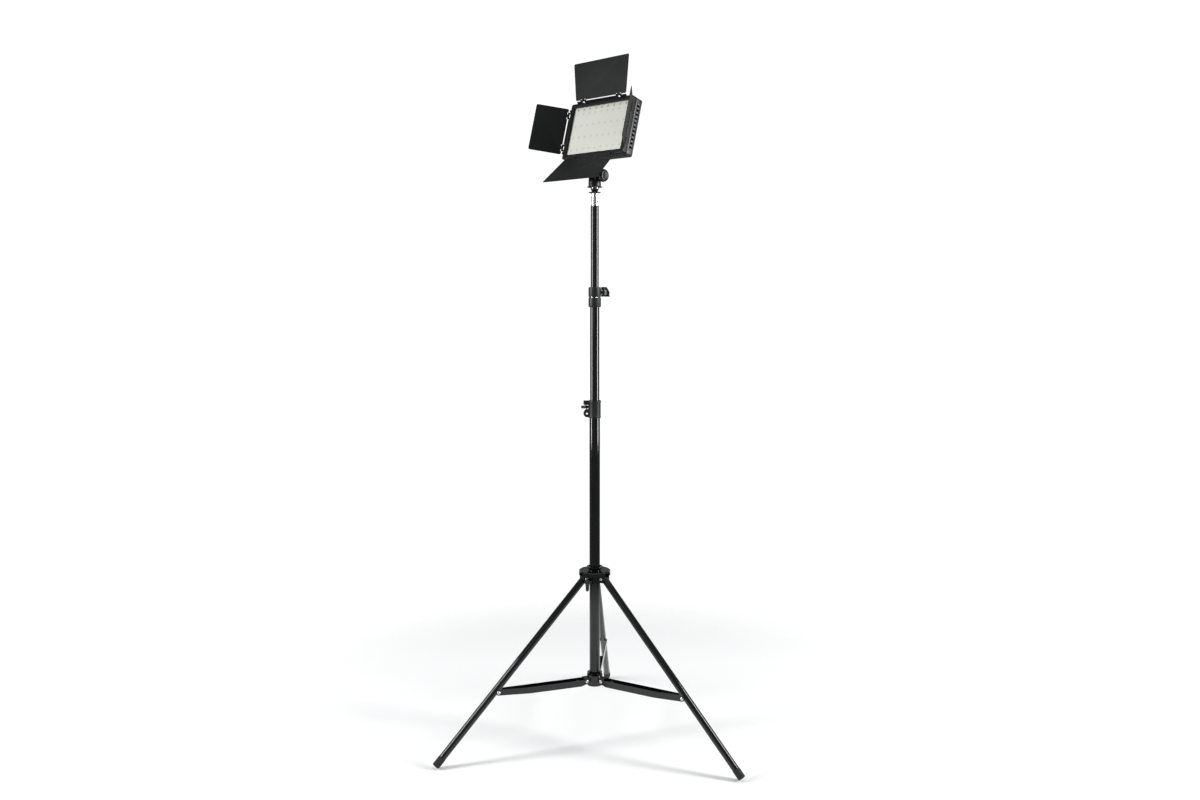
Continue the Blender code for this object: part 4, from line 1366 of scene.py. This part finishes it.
@dataclass
class Adapter(Assembly):
    """The spigot with its stud, the lock wheel, and the adapter that the lamp tilts on.

    Attributes:
        stud: Outer radius of the 1/4 inch stud.
        pitch: Pitch of its thread, 20 to the inch.
    """

    stud: float = 3.1 * MM
    pitch: float = 1.27 * MM

    def build(self) -> None:
        """Makes the spigot, wheel, adapter, arm, bolt and knob."""
        self.build_spigot()
        self.build_wheel()
        self.build_base()
        self.build_tilt()

    def build_spigot(self) -> None:
        """Makes the grooved spigot with the threaded stud on top."""
        place = self.rig.column
        low, high = self.rig.box("top_spigot", place)
        radius = high.x
        top = high.z - 11 * MM
        profile: Outline = [(0.0, high.z), (self.stud - 0.6 * MM, high.z)]
        turns = int((high.z - top - 1.6 * MM) / self.pitch)
        for turn in range(turns):
            crest = high.z - 0.5 * MM - turn * self.pitch
            profile += [(self.stud, crest), (self.stud - 0.55 * MM, crest - self.pitch / 2)]
        profile += [(self.stud - 0.6 * MM, top)]
        steps = (
            (-1.0, 0.0), (0.0, -1.0), (0.0, -4.0), (-2.2, -5.0), (-2.2, -7.0), (0.0, -8.0), (0.0, -19.0),
            (-1.2, -20.0), (-1.2, -22.0), (0.0, -23.0),
        )
        profile += fillet([(radius + out * MM, top + up * MM) for out, up in steps], 0.3 * MM, closed=False)
        profile += [(radius, low.z), (0.0, low.z)]
        self.add("spigot_turned", turned(profile, 72), NICKEL, "upper_section", place, ["top_spigot"])

    def build_wheel(self) -> None:
        """Makes the thin knurled lock wheel."""
        place = self.rig.column
        low, high = self.rig.box("lock_wheel", place)
        radius = high.x
        rim = rims(low.z, high.z, 0.4 * MM)
        profile = [(radius - inset, height) for inset, height in reversed(rim)]
        profile += [(3.5 * MM, low.z), (3.5 * MM, high.z)]
        flutes = Flutes(60, 0.45 * MM, low.z - 1, high.z + 1, radius - 0.6 * MM)
        wheel = turned(profile, 240, closed=True, flutes=flutes)
        self.add("lock_wheel_knurled", wheel, OXIDE, "lock_wheel", place, ["lock_wheel"])

    @property
    def pan(self) -> Matrix:
        """The adapter's frame: the tilt axis's middle, X along it, Z up."""
        return framed(self.rig.pivot("tilt"), -self.rig.axis("tilt"), Vector((0, 0, 1)))

    def build_base(self) -> None:
        """Makes the adapter's round body with toothed flange, tapered socket and two ears."""
        place = self.pan
        profile = [
            (0.0, -9 * MM), (13.7 * MM, -9 * MM), (14.5 * MM, -10 * MM), (14.5 * MM, -22.6 * MM),
            (17.0 * MM, -23.4 * MM), (17.4 * MM, -23.8 * MM), (17.4 * MM, -25.2 * MM),
            (17.0 * MM, -25.5 * MM),
            (9.6 * MM, -26 * MM), (9.3 * MM, -27.5 * MM), (8.6 * MM, -31 * MM), (6.7 * MM, -35.4 * MM),
            (6.2 * MM, -35.8 * MM), (3.4 * MM, -35.8 * MM), (3.4 * MM, -20 * MM), (0.0, -20 * MM),
        ]
        flutes = Flutes(34, 1.0 * MM, -25.4 * MM, -23.6 * MM, 17.2 * MM)
        body = turned(profile, 272, flutes=flutes)
        cheek = arc((0, 0), 8.5 * MM, 0, 180, 24) + [(-8.5 * MM, -12 * MM), (8.5 * MM, -12 * MM)]
        upright = Matrix(((0, 0, 1, 0), (1, 0, 0, 0), (0, 1, 0, 0), (0, 0, 0, 1)))
        spans = ((-12 * MM, -5.2 * MM), (5.2 * MM, 12 * MM))
        ears = [slab(cheek, low, high, 0.8 * MM, upright) for low, high in spans]
        body = carved(body, [merged(ears)], Carve.JOIN)
        bore = rod(2.8 * MM, -16 * MM, 16 * MM, 24, aimed((0, 0, 0), (1, 0, 0)))
        body = carved(body, [bore], Carve.CUT)
        self.add("adapter_moulding", body, ABS, "adapter", place, ["adapter_base"])
        upper, lower = -26.5 * MM, -27.9 * MM
        ring = [(9.75 * MM, upper), (9.75 * MM, lower), (9.0 * MM, lower), (9.0 * MM, upper)]
        clip = turned(fillet(ring, 0.3 * MM), 64, closed=True)
        self.add("adapter_clip_ring", clip, NICKEL, "adapter", place)

    def build_tilt(self) -> None:
        """Finishes the arm and foot, and makes the bolt and the fluted tilt knob."""
        self.dress("tilt_arm", ABS, 0.5 * MM)
        self.dress("head_foot", ABS, 0.4 * MM)
        place = self.rig.head @ Matrix.Rotation(math.radians(90), 4, "Y")
        low, high = self.rig.box("tilt_bolt", place)
        near = low.z + 3.7 * MM
        profile = [
            (0.0, high.z), (2.1 * MM, high.z), (2.5 * MM, high.z - 0.4 * MM), (2.5 * MM, near),
            (4.6 * MM, near), (4.6 * MM, low.z + 0.9 * MM), (3.7 * MM, low.z + 0.1 * MM), (0.0, low.z),
        ]
        bolt = turned(profile, 36)
        socket = slab(arc((0, 0), 2.3 * MM, 0, 300, 5), low.z - 1 * MM, low.z + 2.2 * MM, 0.01 * MM)
        bolt = carved(bolt, [socket], Carve.CUT)
        self.add("tilt_bolt_turned", bolt, NICKEL, "lamp_head", place, ["tilt_bolt"])
        low, high = self.rig.box("tilt_knob", place)
        outer, near, bore = high.x, low.z, 2.8 * MM
        tip = high.z
        profile = [
            (0.0, tip - 1.2 * MM), (6.2 * MM, tip - 1.2 * MM), (7.2 * MM, tip - 0.1 * MM), (9.6 * MM, tip),
            (outer - 1.9 * MM, tip - 1.2 * MM), (outer - 0.4 * MM, tip - 3.6 * MM), (outer, tip - 6 * MM),
            (outer, tip - 10 * MM), (outer - 1.3 * MM, tip - 12 * MM), (8 * MM, tip - 13 * MM),
            (7 * MM, tip - 15 * MM), (7 * MM, near), (bore, near), (bore, tip - 7.6 * MM),
            (0.0, tip - 7.6 * MM),
        ]
        flutes = Flutes(18, 1.1 * MM, tip - 11.8 * MM, tip - 2.6 * MM, outer - 1.0 * MM)
        knob = turned(fillet(profile, 0.7 * MM, closed=False), 180, flutes=flutes)
        self.add("tilt_knob_fluted", knob, GLOSS_ABS, "tilt_knob", place, ["tilt_knob"])


# ------------------------------------------------------------------ lamp head

@dataclass
class LampHead(Assembly):
    """The lamp: bezel, milky sheet, boards, vented housing, cover with controls, battery plate.

    Attributes:
        border: Width of the bezel's frame.
        recess: How far the milky sheet lies behind the bezel's face.
        bezel_depth: Depth of the bezel.
        corner: Corner radius of the lamp's outline.
        vent_pitch: Distance between the side slots.
        vents: Slots on each side.
        control_x: Distance of the controls from the lamp's middle.
        dimmer_up: Height of the brightness dial over the lamp's middle.
        colour_up: Height of the colour dial over the lamp's middle.
        switch_up: Height of the rocker over the lamp's middle.
        lug_radius: Radius of a door lug's round end.
        lug_reach: Length of a door lug, from the hinge pin into the bezel.
        half_w: Half the lamp's width.
        half_h: Half the lamp's height.
        back: Where the lamp's back lies, along its own Y.
        front: Where the lamp's face lies, along its own Y.
        face: The lamp's face: X across the lamp, Y up it, Z to its back, from its middle.
    """

    border: float = 10 * MM
    recess: float = 5 * MM
    bezel_depth: float = 14 * MM
    corner: float = 5 * MM
    vent_pitch: float = 9.6 * MM
    vents: int = 11
    control_x: float = 72 * MM
    dimmer_up: float = 28 * MM
    colour_up: float = -4 * MM
    switch_up: float = -42.5 * MM
    lug_radius: float = 2.1 * MM
    lug_reach: float = 9.2 * MM
    half_w: float = field(init=False)
    half_h: float = field(init=False)
    back: float = field(init=False)
    front: float = field(init=False)
    face: Matrix = field(init=False)

    def build(self) -> None:
        """Makes the lamp's front, inside and back."""
        place = self.rig.head
        low, high = self.rig.box("rear_housing", place)
        self.half_w = (high.x - low.x) / 2 + 0.6 * MM
        self.half_h = (high.z - low.z) / 2 + 0.6 * MM
        self.back = high.y
        low, high = self.rig.box("diffuser", place)
        self.front = low.y - self.recess
        self.face = place @ Matrix.Translation((0, 0, (low.z + high.z) / 2)) @ STANDING
        self.build_bezel()
        self.build_sheet_and_boards()
        self.build_housing()
        self.build_cover()
        self.build_battery_plate()
        self.build_dial("dimmer_knob")
        self.build_dial("colour_knob")
        self.dress("power_switch", GLOSS_ABS, 0.5 * MM)

    def lamp_outline(self, inset: float) -> Outline:
        """The lamp's rounded outline, moved inward."""
        radius = max(self.corner - inset, 0.8 * MM)
        return rectangle(self.half_w - inset, self.half_h - inset, radius, 8)

    def add_flat(self, name: str, shape: Mesh, finish: Finish, stands_for: Sequence[str] = ()) -> Thing:
        """Adds a shape drawn on the lamp's face to the lamp; its coordinates become the lamp's own.

        Args:
            name: The piece's name.
            shape: The shape, drawn on the face.
            finish: What it is made of.
            stands_for: Nodes that it replaces.

        Returns:
            The piece.
        """
        shape.transform(self.rig.head.inverted() @ self.face)
        shape.flip_normals()
        return self.add(name, shape, finish, "lamp_head", self.rig.head, stands_for)

    def build_bezel(self) -> None:
        """Makes the front frame with rounded edges and the lugs of the door hinges."""
        back, front = self.front + self.bezel_depth, self.front
        ledge = front + self.recess - 0.3 * MM
        pocket = self.border - 3 * MM
        edge = fillet(
            [
                (0.0, back), (0.0, front), (self.border, front), (self.border, ledge),
                (pocket, ledge), (pocket, back),
            ],
            1.1 * MM,
            4,
        )
        body = stacked(self.lamp_outline, edge, closed=True)
        self.add_flat("bezel_frame", body, DEEP_ABS, ["front_bezel"])
        self.build_lugs()

    def build_lugs(self) -> None:
        """Makes the pairs of lugs that carry the doors' hinge pins."""
        for door, lean in (("top", -35.0), ("bottom", -35.0), ("left", -40.0), ("right", -40.0)):
            along = Vector((math.cos(math.radians(lean)), math.sin(math.radians(lean))))
            ring = arc((0, 0), self.lug_radius, lean + 90, lean + 270, 12)
            run = self.lug_reach * along
            ring += [(run.x + x, run.y + y) for x, y in (ring[-1], ring[0])]
            shapes = []
            for number in (1, 2):
                place = self.hinge_frame(door, self.rig.middle(f"door_{door}_pin_{number}"))
                for near, far in ((-7.8 * MM, -4.4 * MM), (4.4 * MM, 7.8 * MM)):
                    shapes.append(slab(ring, near, far, 0.45 * MM, place))
            shapes += self.rails(door, along)
            self.add(f"bezel_lugs_{door}", merged(shapes), DEEP_ABS, "lamp_head", self.rig.head)

    def hinge_frame(self, door: str, spot: Vector) -> Matrix:
        """The frame of a hinge's cross section: X to the lamp's back, Y outward, Z along the hinge.

        Args:
            door: The door's side of the bezel.
            spot: A point on the hinge's axis.

        Returns:
            The frame, in the lamp's own coordinates.
        """
        head = self.rig.head
        back = head.to_3x3() @ Vector((0, 1, 0))
        outward = self.rig.pivot(f"door_{door}_hinge") - self.face.translation
        outward = (outward - back * outward.dot(back)).normalized()
        place = head.inverted() @ framed(spot, self.rig.axis(f"door_{door}_hinge"), outward)
        sign = 1 if (place.to_3x3() @ Vector((0, 1, 0))).y > 0 else -1
        return place @ Matrix(((0, 0, 1, 0), (sign, 0, 0, 0), (0, 1, 0, 0), (0, 0, 0, 1)))

    def rails(self, door: str, along: Vector) -> list[Mesh]:
        """Makes the thin flange between the lugs, which leaves the door a narrow slit.

        Args:
            door: The door's side of the bezel.
            along: The way the flange leans back, in the hinge's cross section.

        Returns:
            Three flanges: one between the hinges and one outside each.
        """
        pins = [self.rig.middle(f"door_{door}_pin_{number}") for number in (1, 2)]
        half = (pins[1] - pins[0]).length / 2
        place = self.hinge_frame(door, self.rig.pivot(f"door_{door}_hinge"))
        across = Vector((-along.y, along.x)) * 0.6 * MM
        near, far = along * 1.5 * MM, along * self.lug_reach
        ring = [(near - across)[:], (far - across)[:], (far + across)[:], (near + across)[:]]
        end = half + (22 if door in ("top", "bottom") else 15) * MM
        clear = 8.9 * MM
        spans = ((-end, -half - clear), (clear - half, half - clear), (half + clear, end))
        return [slab(ring, low, high, 0.3 * MM, place) for low, high in spans]

    def build_sheet_and_boards(self) -> None:
        """Makes the milky sheet and the lit board behind it, and finishes the driver board."""
        head = self.rig.head
        low, high = self.rig.box("diffuser", head)
        half_w, half_h = (high.x - low.x) / 2, (high.z - low.z) / 2
        outline = rectangle(half_w, half_h, 3.5 * MM, 8)
        sheet = slab(outline, low.y, high.y, 0.35 * MM)
        self.add_flat("opal_sheet", sheet, OPAL, ["diffuser"])
        self.dress("led_board", MASK, 0.15 * MM)
        self.dress("driver_board", GREEN, 0.1 * MM)
        board = self.rig.box("led_board", head)[0].y
        emitters = []
        rows = [OPAL.top_row_mm] + [OPAL.lattice_mm + OPAL.row_mm * step for step in (1, 0, -1, -2)]
        for row in rows:
            for column in range(-4, 5):
                x, y = column * OPAL.column_mm * MM, row * MM
                near = (x - 1.4 * MM, y - 1.75 * MM, board - 0.75 * MM)
                far = (x + 1.4 * MM, y + 1.75 * MM, board - 0.05 * MM)
                emitters.append(block(near, far, 0.3 * MM))
        self.add_flat("emitters", merged(emitters), PHOSPHOR)

    def build_housing(self) -> None:
        """Makes the housing with its side slots and the ribs between them."""
        low, high = self.rig.box("rear_housing", self.rig.head)
        outer, inner = 0.6 * MM, 2.8 * MM
        edge = [(outer, high.y), (outer, low.y), (inner, low.y), (inner, high.y)]
        body = stacked(self.lamp_outline, fillet(edge, 0.5 * MM, 3), closed=True)
        near, far = low.y + 4.5 * MM, high.y - 2.5 * MM
        first = -self.vent_pitch * (self.vents - 1) / 2
        reach = self.half_w + 9 * MM
        slots = []
        for n in range(self.vents):
            y = first + n * self.vent_pitch
            slots.append(block((-reach, y - 2 * MM, near), (reach, y + 2 * MM, far), 0.6 * MM))
        body = carved(body, [merged(slots)], Carve.CUT)
        self.add_flat("housing_shell", body, ABS, ["rear_housing"])
        ribs = []
        for n in range(self.vents + 1):
            y = first + (n - 0.5) * self.vent_pitch
            for side in (-1, 1):
                left, right = sorted((side * (self.half_w - 0.9 * MM), side * (self.half_w + 0.3 * MM)))
                low_corner = (left, y - 2.5 * MM, near + 0.2 * MM)
                high_corner = (right, y + 2.5 * MM, far - 0.2 * MM)
                ribs.append(block(low_corner, high_corner, 0.5 * MM))
        self.add_flat("housing_ribs", merged(ribs), GREY_ABS)

    def build_cover(self) -> None:
        """Makes the back cover with its slots, shaft holes, screws and dial ticks."""
        low, high = self.rig.box("rear_cover", self.rig.head)
        cover = slab(self.lamp_outline(0.6 * MM), low.y, high.y, 0.9 * MM)
        slot = rectangle(34 * MM, 0.95 * MM, 0.9 * MM, 4)
        window = rectangle(6.5 * MM, 10 * MM, 1 * MM, 4)
        cuts = []
        for row in range(5):
            up = 42.5 * MM + row * 4.2 * MM
            cuts += [(slot, 0.0, up), (slot, 0.0, -up)]
        cuts.append((window, self.control_x, self.switch_up))
        under, over = low.y - 1 * MM, high.y + 1 * MM
        tools = [slab(cut, under, over, 0.05 * MM, Matrix.Translation((x, up, 0))) for cut, x, up in cuts]
        for up in (self.dimmer_up, self.colour_up):
            at_dial = Matrix.Translation((self.control_x, up, 0))
            tools.append(rod(3.6 * MM, low.y - 2 * MM, high.y + 2 * MM, 32, at_dial))
        cover = carved(cover, [merged(tools)], Carve.CUT)
        self.add_flat("cover_panel", cover, ABS, ["rear_cover"])
        ticks = []
        for up in (self.dimmer_up, self.colour_up):
            for step in range(11):
                angle = math.radians(225 - 27 * step)
                turn = Matrix.Translation((self.control_x, up, 0)) @ Matrix.Rotation(angle, 4, "Z")
                width = 0.35 * MM if step % 5 else 0.55 * MM
                near, far = (11.2 * MM, -width, high.y), (13.4 * MM, width, high.y + 0.12 * MM)
                ticks.append(block(near, far, 0.03 * MM, turn))
        self.add_flat("dial_ticks", merged(ticks), INK)
        x, y = self.half_w - 8 * MM, self.half_h - 8 * MM
        screws = [
            cross_screw(2.6 * MM, Matrix.Translation((side * x, up * y, high.y)))
            for side in (-1, 1)
            for up in (-1, 1)
        ]
        self.add_flat("cover_screws", merged(screws), OXIDE)

    def build_battery_plate(self) -> None:
        """Makes the battery plate with its rails, contact block and release tab."""
        low, high = self.rig.box("battery_plate", self.rig.head)
        half_w, half_h = (high.x - low.x) / 2, (high.z - low.z) / 2
        plate = slab(rectangle(half_w, half_h, 3 * MM, 6), low.y, high.y, 1.2 * MM)
        face, foot = high.y, -half_h
        tools = []
        for x in (-22 * MM, 22 * MM):
            low_corner = (x - 3 * MM, foot + 9 * MM, face - 2.4 * MM)
            high_corner = (x + 3 * MM, half_h + 3 * MM, face + 3 * MM)
            tools.append(block(low_corner, high_corner, 0.5 * MM))
        low_corner = (-13 * MM, foot + 8 * MM, face - 3.2 * MM)
        high_corner = (13 * MM, foot + 19 * MM, face + 3 * MM)
        tools.append(block(low_corner, high_corner, 0.8 * MM))
        plate = carved(plate, [merged(tools)], Carve.CUT)
        self.add_flat("battery_shoe", plate, ABS, ["battery_plate"])
        contacts = []
        for x in (-9 * MM, -3 * MM, 3 * MM, 9 * MM):
            low_corner = (x - 1.1 * MM, foot + 9.5 * MM, face - 3.3 * MM)
            high_corner = (x + 1.1 * MM, foot + 17.5 * MM, face - 1.6 * MM)
            contacts.append(block(low_corner, high_corner, 0.4 * MM))
        self.add_flat("battery_contacts", merged(contacts), NICKEL)
        tab = block((26.5 * MM, -9 * MM, face - 0.6 * MM), (33.5 * MM, 9 * MM, face + 1.1 * MM), 0.8 * MM)
        grooves = []
        for y in (-6 * MM, -3 * MM, 0.0, 3 * MM, 6 * MM):
            low_corner = (25 * MM, y - 0.5 * MM, face + 0.6 * MM)
            high_corner = (35 * MM, y + 0.5 * MM, face + 3 * MM)
            grooves.append(block(low_corner, high_corner, 0.2 * MM))
        self.add_flat("battery_release", carved(tab, [merged(grooves)], Carve.CUT), NYLON)

    def build_dial(self, name: str) -> None:
        """Makes a fluted dial with a white pointer line.

        Args:
            name: The dial's node.
        """
        head = self.rig.head
        low, high = self.rig.box(name, head)
        spot = head @ Vector(((low.x + high.x) / 2, 0, (low.z + high.z) / 2))
        place = framed(spot, head.to_3x3() @ Vector((1, 0, 0)), head.to_3x3() @ Vector((0, 1, 0)))
        radius, top, foot = (high.x - low.x) / 2, high.y, self.back + 3.6 * MM
        profile = [
            (0.0, top - 0.6 * MM), (5.4 * MM, top - 0.6 * MM), (6.2 * MM, top), (radius - 1.5 * MM, top),
            (radius - 0.7 * MM, top - 1.2 * MM), (radius, foot + 1.5 * MM), (radius, foot), (3 * MM, foot),
            (3 * MM, low.y), (0.0, low.y),
        ]
        flutes = Flutes(24, 0.6 * MM, foot + 1.6 * MM, top - 1.0 * MM, radius - 0.9 * MM)
        dial = turned(fillet(profile, 0.5 * MM, closed=False), 144, flutes=flutes)
        self.add(f"{name}_fluted", dial, GLOSS_ABS, name, place, [name])
        line = block((-0.5 * MM, 1.5 * MM, top - 0.62 * MM), (0.5 * MM, 7.3 * MM, top + 0.1 * MM), 0.05 * MM)
        line.transform(Matrix.Diagonal((1, -1, 1, 1)))
        line.flip_normals()
        self.add(f"{name}_pointer", line, INK, name, place)


# ------------------------------------------------------------------ barn doors

@dataclass
class BarnDoors(Assembly):
    """Four sheet doors with rolled hinge barrels.

    Attributes:
        sheet: Thickness of the sheet.
        slit: Gap between hinge axis and sheet in the notches.
        edge: Gap between hinge axis and sheet elsewhere.
        notch: Half the width of the notch round each hinge.
        corner: Radius of the sheet's corners.
        flare: How much wider a long door is at its free edge, each side.
    """

    sheet: float = 1.2 * MM
    slit: float = 3.4 * MM
    edge: float = 0.9 * MM
    notch: float = 8.7 * MM
    corner: float = 4 * MM
    flare: float = 7.5 * MM

    def build(self) -> None:
        """Makes the doors and their pins."""
        for door in ("top", "bottom", "left", "right"):
            self.build_door(door)

    def build_door(self, door: str) -> None:
        """Makes one door with its two barrels, and the pins that stay in them.

        Args:
            door: The door's side of the bezel.
        """
        joint, node = f"door_{door}_hinge", f"door_{door}"
        pivot, axis = self.rig.pivot(joint), self.rig.axis(joint)
        place = framed(pivot, axis, self.rig.edge(node, pivot, axis))
        high = self.rig.box(node, place)[1]
        outer, depth = high.x, high.z
        inner = outer - (self.flare if door in ("top", "bottom") else 0.0)
        outline = [(inner, self.edge), (outer, depth), (-outer, depth), (-inner, self.edge)]
        outline = fillet(outline, self.corner, 6)
        sheet = slab(outline, -self.sheet / 2, self.sheet / 2, 0.4 * MM, STANDING)
        barrels, tabs, bores, notches = [], [], [], []
        for number in (1, 2):
            pin = f"door_{door}_pin_{number}"
            x = (place.inverted() @ self.rig.middle(pin)).x
            along = aimed((x, 0, 0), (1, 0, 0))
            profile = [(0.0, 4 * MM), (2.5 * MM, 4 * MM), (2.5 * MM, -4 * MM), (0.0, -4 * MM)]
            barrels.append(turned(fillet(profile, 0.35 * MM, closed=False), 36, place=along))
            near, far = (x - 3.5 * MM, -0.5 * MM, 1.6 * MM), (x + 3.5 * MM, 0.5 * MM, self.slit + 2 * MM)
            tabs.append(block(near, far, 0.15 * MM))
            notch = rectangle(self.notch, self.slit, 1.2 * MM, 4)
            notches.append(slab(notch, -5 * MM, 5 * MM, 0.05 * MM, Matrix.Translation((x, 0, 0)) @ STANDING))
            bores.append(rod(1.3 * MM, -6 * MM, 6 * MM, 24, along))
            low_pin, high_pin = self.rig.box(pin, place)
            half = (high_pin.x - low_pin.x) / 2
            steps = [
                (0.0, half + 0.4 * MM), (1.1 * MM, half + 0.4 * MM), (1.6 * MM, half + 0.1 * MM),
                (1.0 * MM, half), (1.0 * MM, -half), (0.0, -half),
            ]
            at_pin = place @ along
            self.add(f"{pin}_headed", turned(steps, 24), OXIDE, "lamp_head", at_pin, [pin])
        shape = carved(carved(sheet, notches, Carve.CUT), [merged(tabs), merged(barrels)], Carve.JOIN)
        shape = carved(shape, [merged(bores)], Carve.CUT)
        self.add(f"{node}_sheet", shape, POWDER, node, place, [node])


# ------------------------------------------------------------------ studio

@dataclass
class Studio:
    """Pale floor, soft lights and the camera.

    Attributes:
        column: The column's axis on the floor.
        view_turn: How far the camera is turned round the column, in degrees.
        view_reach: Distance from the column to the camera.
        view_height: Height of the camera.
        view_tilt: How far it looks down, in degrees.
        lens: Focal length in millimetres.
        shift: Sideways shift of the frame.
    """

    column: Vector
    view_turn: float = 5.0
    view_reach: float = 2.5
    view_height: float = 1.0966
    view_tilt: float = 6.16
    lens: float = 32.1
    shift: float = 0.0044

    def build(self) -> None:
        """Makes the whole studio."""
        self.build_camera()
        self.build_world()
        self.build_lights()
        self.build_floor()
        view = bpy.context.scene.view_settings
        view.view_transform = "Standard"
        view.look = "None"

    def build_camera(self) -> None:
        """Sets the camera at the column's height, a little to its right."""
        data = bpy.data.cameras.new("camera")
        data.lens = self.lens
        data.sensor_width = 36.0
        data.shift_x = self.shift
        data.clip_end = 60.0
        camera = bpy.data.objects.new("camera", data)
        turn = math.radians(self.view_turn)
        camera.location = self.column + Vector((
            self.view_reach * math.sin(turn), -self.view_reach * math.cos(turn), self.view_height,
        ))
        camera.rotation_euler = (math.radians(90 - self.view_tilt), 0.0, turn)
        bpy.context.scene.collection.objects.link(camera)
        bpy.context.scene.camera = camera

    def build_world(self) -> None:
        """White to the eye, but a weak grey light, so that gloss black stays black."""
        world = bpy.data.worlds.new("studio_world")
        world.use_nodes = True
        tree = world.node_tree
        tree.nodes.clear()
        seen = add_node(tree, "ShaderNodeBackground", {"Color": (1, 1, 1, 1), "Strength": 1.05})
        fill = add_node(tree, "ShaderNodeBackground", {"Color": (0.95, 0.97, 1, 1), "Strength": 0.24})
        path = add_node(tree, "ShaderNodeLightPath")
        mix = add_node(
            tree,
            "ShaderNodeMixShader",
            None,
            {0: path.outputs["Is Camera Ray"], 1: fill.outputs[0], 2: seen.outputs[0]},
        )
        add_node(tree, "ShaderNodeOutputWorld", None, {"Surface": mix.outputs[0]})
        bpy.context.scene.world = world

    def add_light(
        self, name: str, azimuth: float, reach: float, height: float, size: Point, watts: float
    ) -> None:
        """Adds a softbox that looks at the middle of the stand.

        Args:
            name: The light's name.
            azimuth: Direction from the column, in degrees from the camera's side to its right.
            reach: Distance from the column.
            height: Height of its middle.
            size: Width and height.
            watts: Its power.
        """
        data = bpy.data.lights.new(name, "AREA")
        data.shape = "RECTANGLE"
        data.size, data.size_y = size
        data.energy = watts
        light = bpy.data.objects.new(name, data)
        turn = math.radians(azimuth + self.view_turn)
        light.location = self.column + Vector((reach * math.sin(turn), -reach * math.cos(turn), height))
        target = self.column + Vector((0, 0, min(height, 0.9)))
        light.rotation_euler = (target - light.location).to_track_quat("-Z", "Y").to_euler()
        bpy.context.scene.collection.objects.link(light)

    def build_lights(self) -> None:
        """Two tall strips at the sides, a broad front fill, two weak strips behind and a soft top light."""
        self.add_light("strip_left", -74, 2.5, 1.4, (0.5, 1.6), 56)
        self.add_light("strip_right", 74, 2.5, 1.4, (0.5, 1.6), 66)
        self.add_light("front_fill", -30, 3.4, 2.2, (2.4, 1.8), 5)
        self.add_light("back_left", -145, 3.0, 1.4, (0.9, 2.0), 6)
        self.add_light("back_right", 145, 3.0, 1.4, (0.9, 2.0), 6)
        data = bpy.data.lights.new("top_soft", "AREA")
        data.shape = "DISK"
        data.size = 3.6
        data.energy = 28
        light = bpy.data.objects.new("top_soft", data)
        light.location = self.column + Vector((0, 0, 3.6))
        bpy.context.scene.collection.objects.link(light)

    def build_floor(self) -> None:
        """A pale round floor that fades out before its edge."""
        disc = bmesh.new()
        bmesh.ops.create_circle(disc, cap_ends=True, segments=96, radius=3.2)
        mesh = bpy.data.meshes.new("studio_floor")
        disc.to_mesh(mesh)
        disc.free()
        floor = bpy.data.objects.new("studio_floor", mesh)
        floor.location = (self.column.x, self.column.y, -0.0004)
        bpy.context.scene.collection.objects.link(floor)
        material = bpy.data.materials.new("pale_floor")
        material.use_nodes = True
        tree = material.node_tree
        shader = tree.nodes["Principled BSDF"]
        shader.inputs["Roughness"].default_value = 0.75
        place = add_node(tree, "ShaderNodeTexCoord").outputs["Object"]
        length = add_node(tree, "ShaderNodeVectorMath", {"operation": "LENGTH"}, {0: place}).outputs["Value"]
        speckle = add_node(tree, "ShaderNodeTexNoise", {"Scale": 900.0, "Detail": 2.0}, {"Vector": place})
        tone = add_node(
            tree,
            "ShaderNodeMix",
            {"data_type": "RGBA", 6: linear("#fafafa"), 7: linear("#ffffff")},
            {0: speckle.outputs["Fac"]},
        )
        tree.links.new(tone.outputs[2], shader.inputs["Base Color"])
        fade = add_node(
            tree,
            "ShaderNodeMapRange",
            {
                "interpolation_type": "SMOOTHSTEP",
                "From Min": 1.3, "From Max": 0.75, "To Min": 0.0, "To Max": 1.0,
            },
            {"Value": length},
        )
        tree.links.new(fade.outputs["Result"], shader.inputs["Alpha"])
        mesh.materials.append(material)


def main() -> None:
    """Loads the base model and builds the studio and every sub-assembly."""
    logging.basicConfig(level=logging.INFO, format="%(message)s")
    for thing in list(bpy.data.objects):
        bpy.data.objects.remove(thing)
    rig = Rig(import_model())
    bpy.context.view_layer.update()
    column = rig.column.translation.copy()
    Studio(Vector((column.x, column.y, 0.0))).build()
    for kind in (Column, LowerClamp, UpperClamp, FoldingBase, Adapter, LampHead, BarnDoors):
        LOG.info("building %s", kind.__name__)
        kind(rig).build()
    bpy.context.view_layer.update()
    LOG.info("boxes written")


if __name__ == "__main__":
    main()
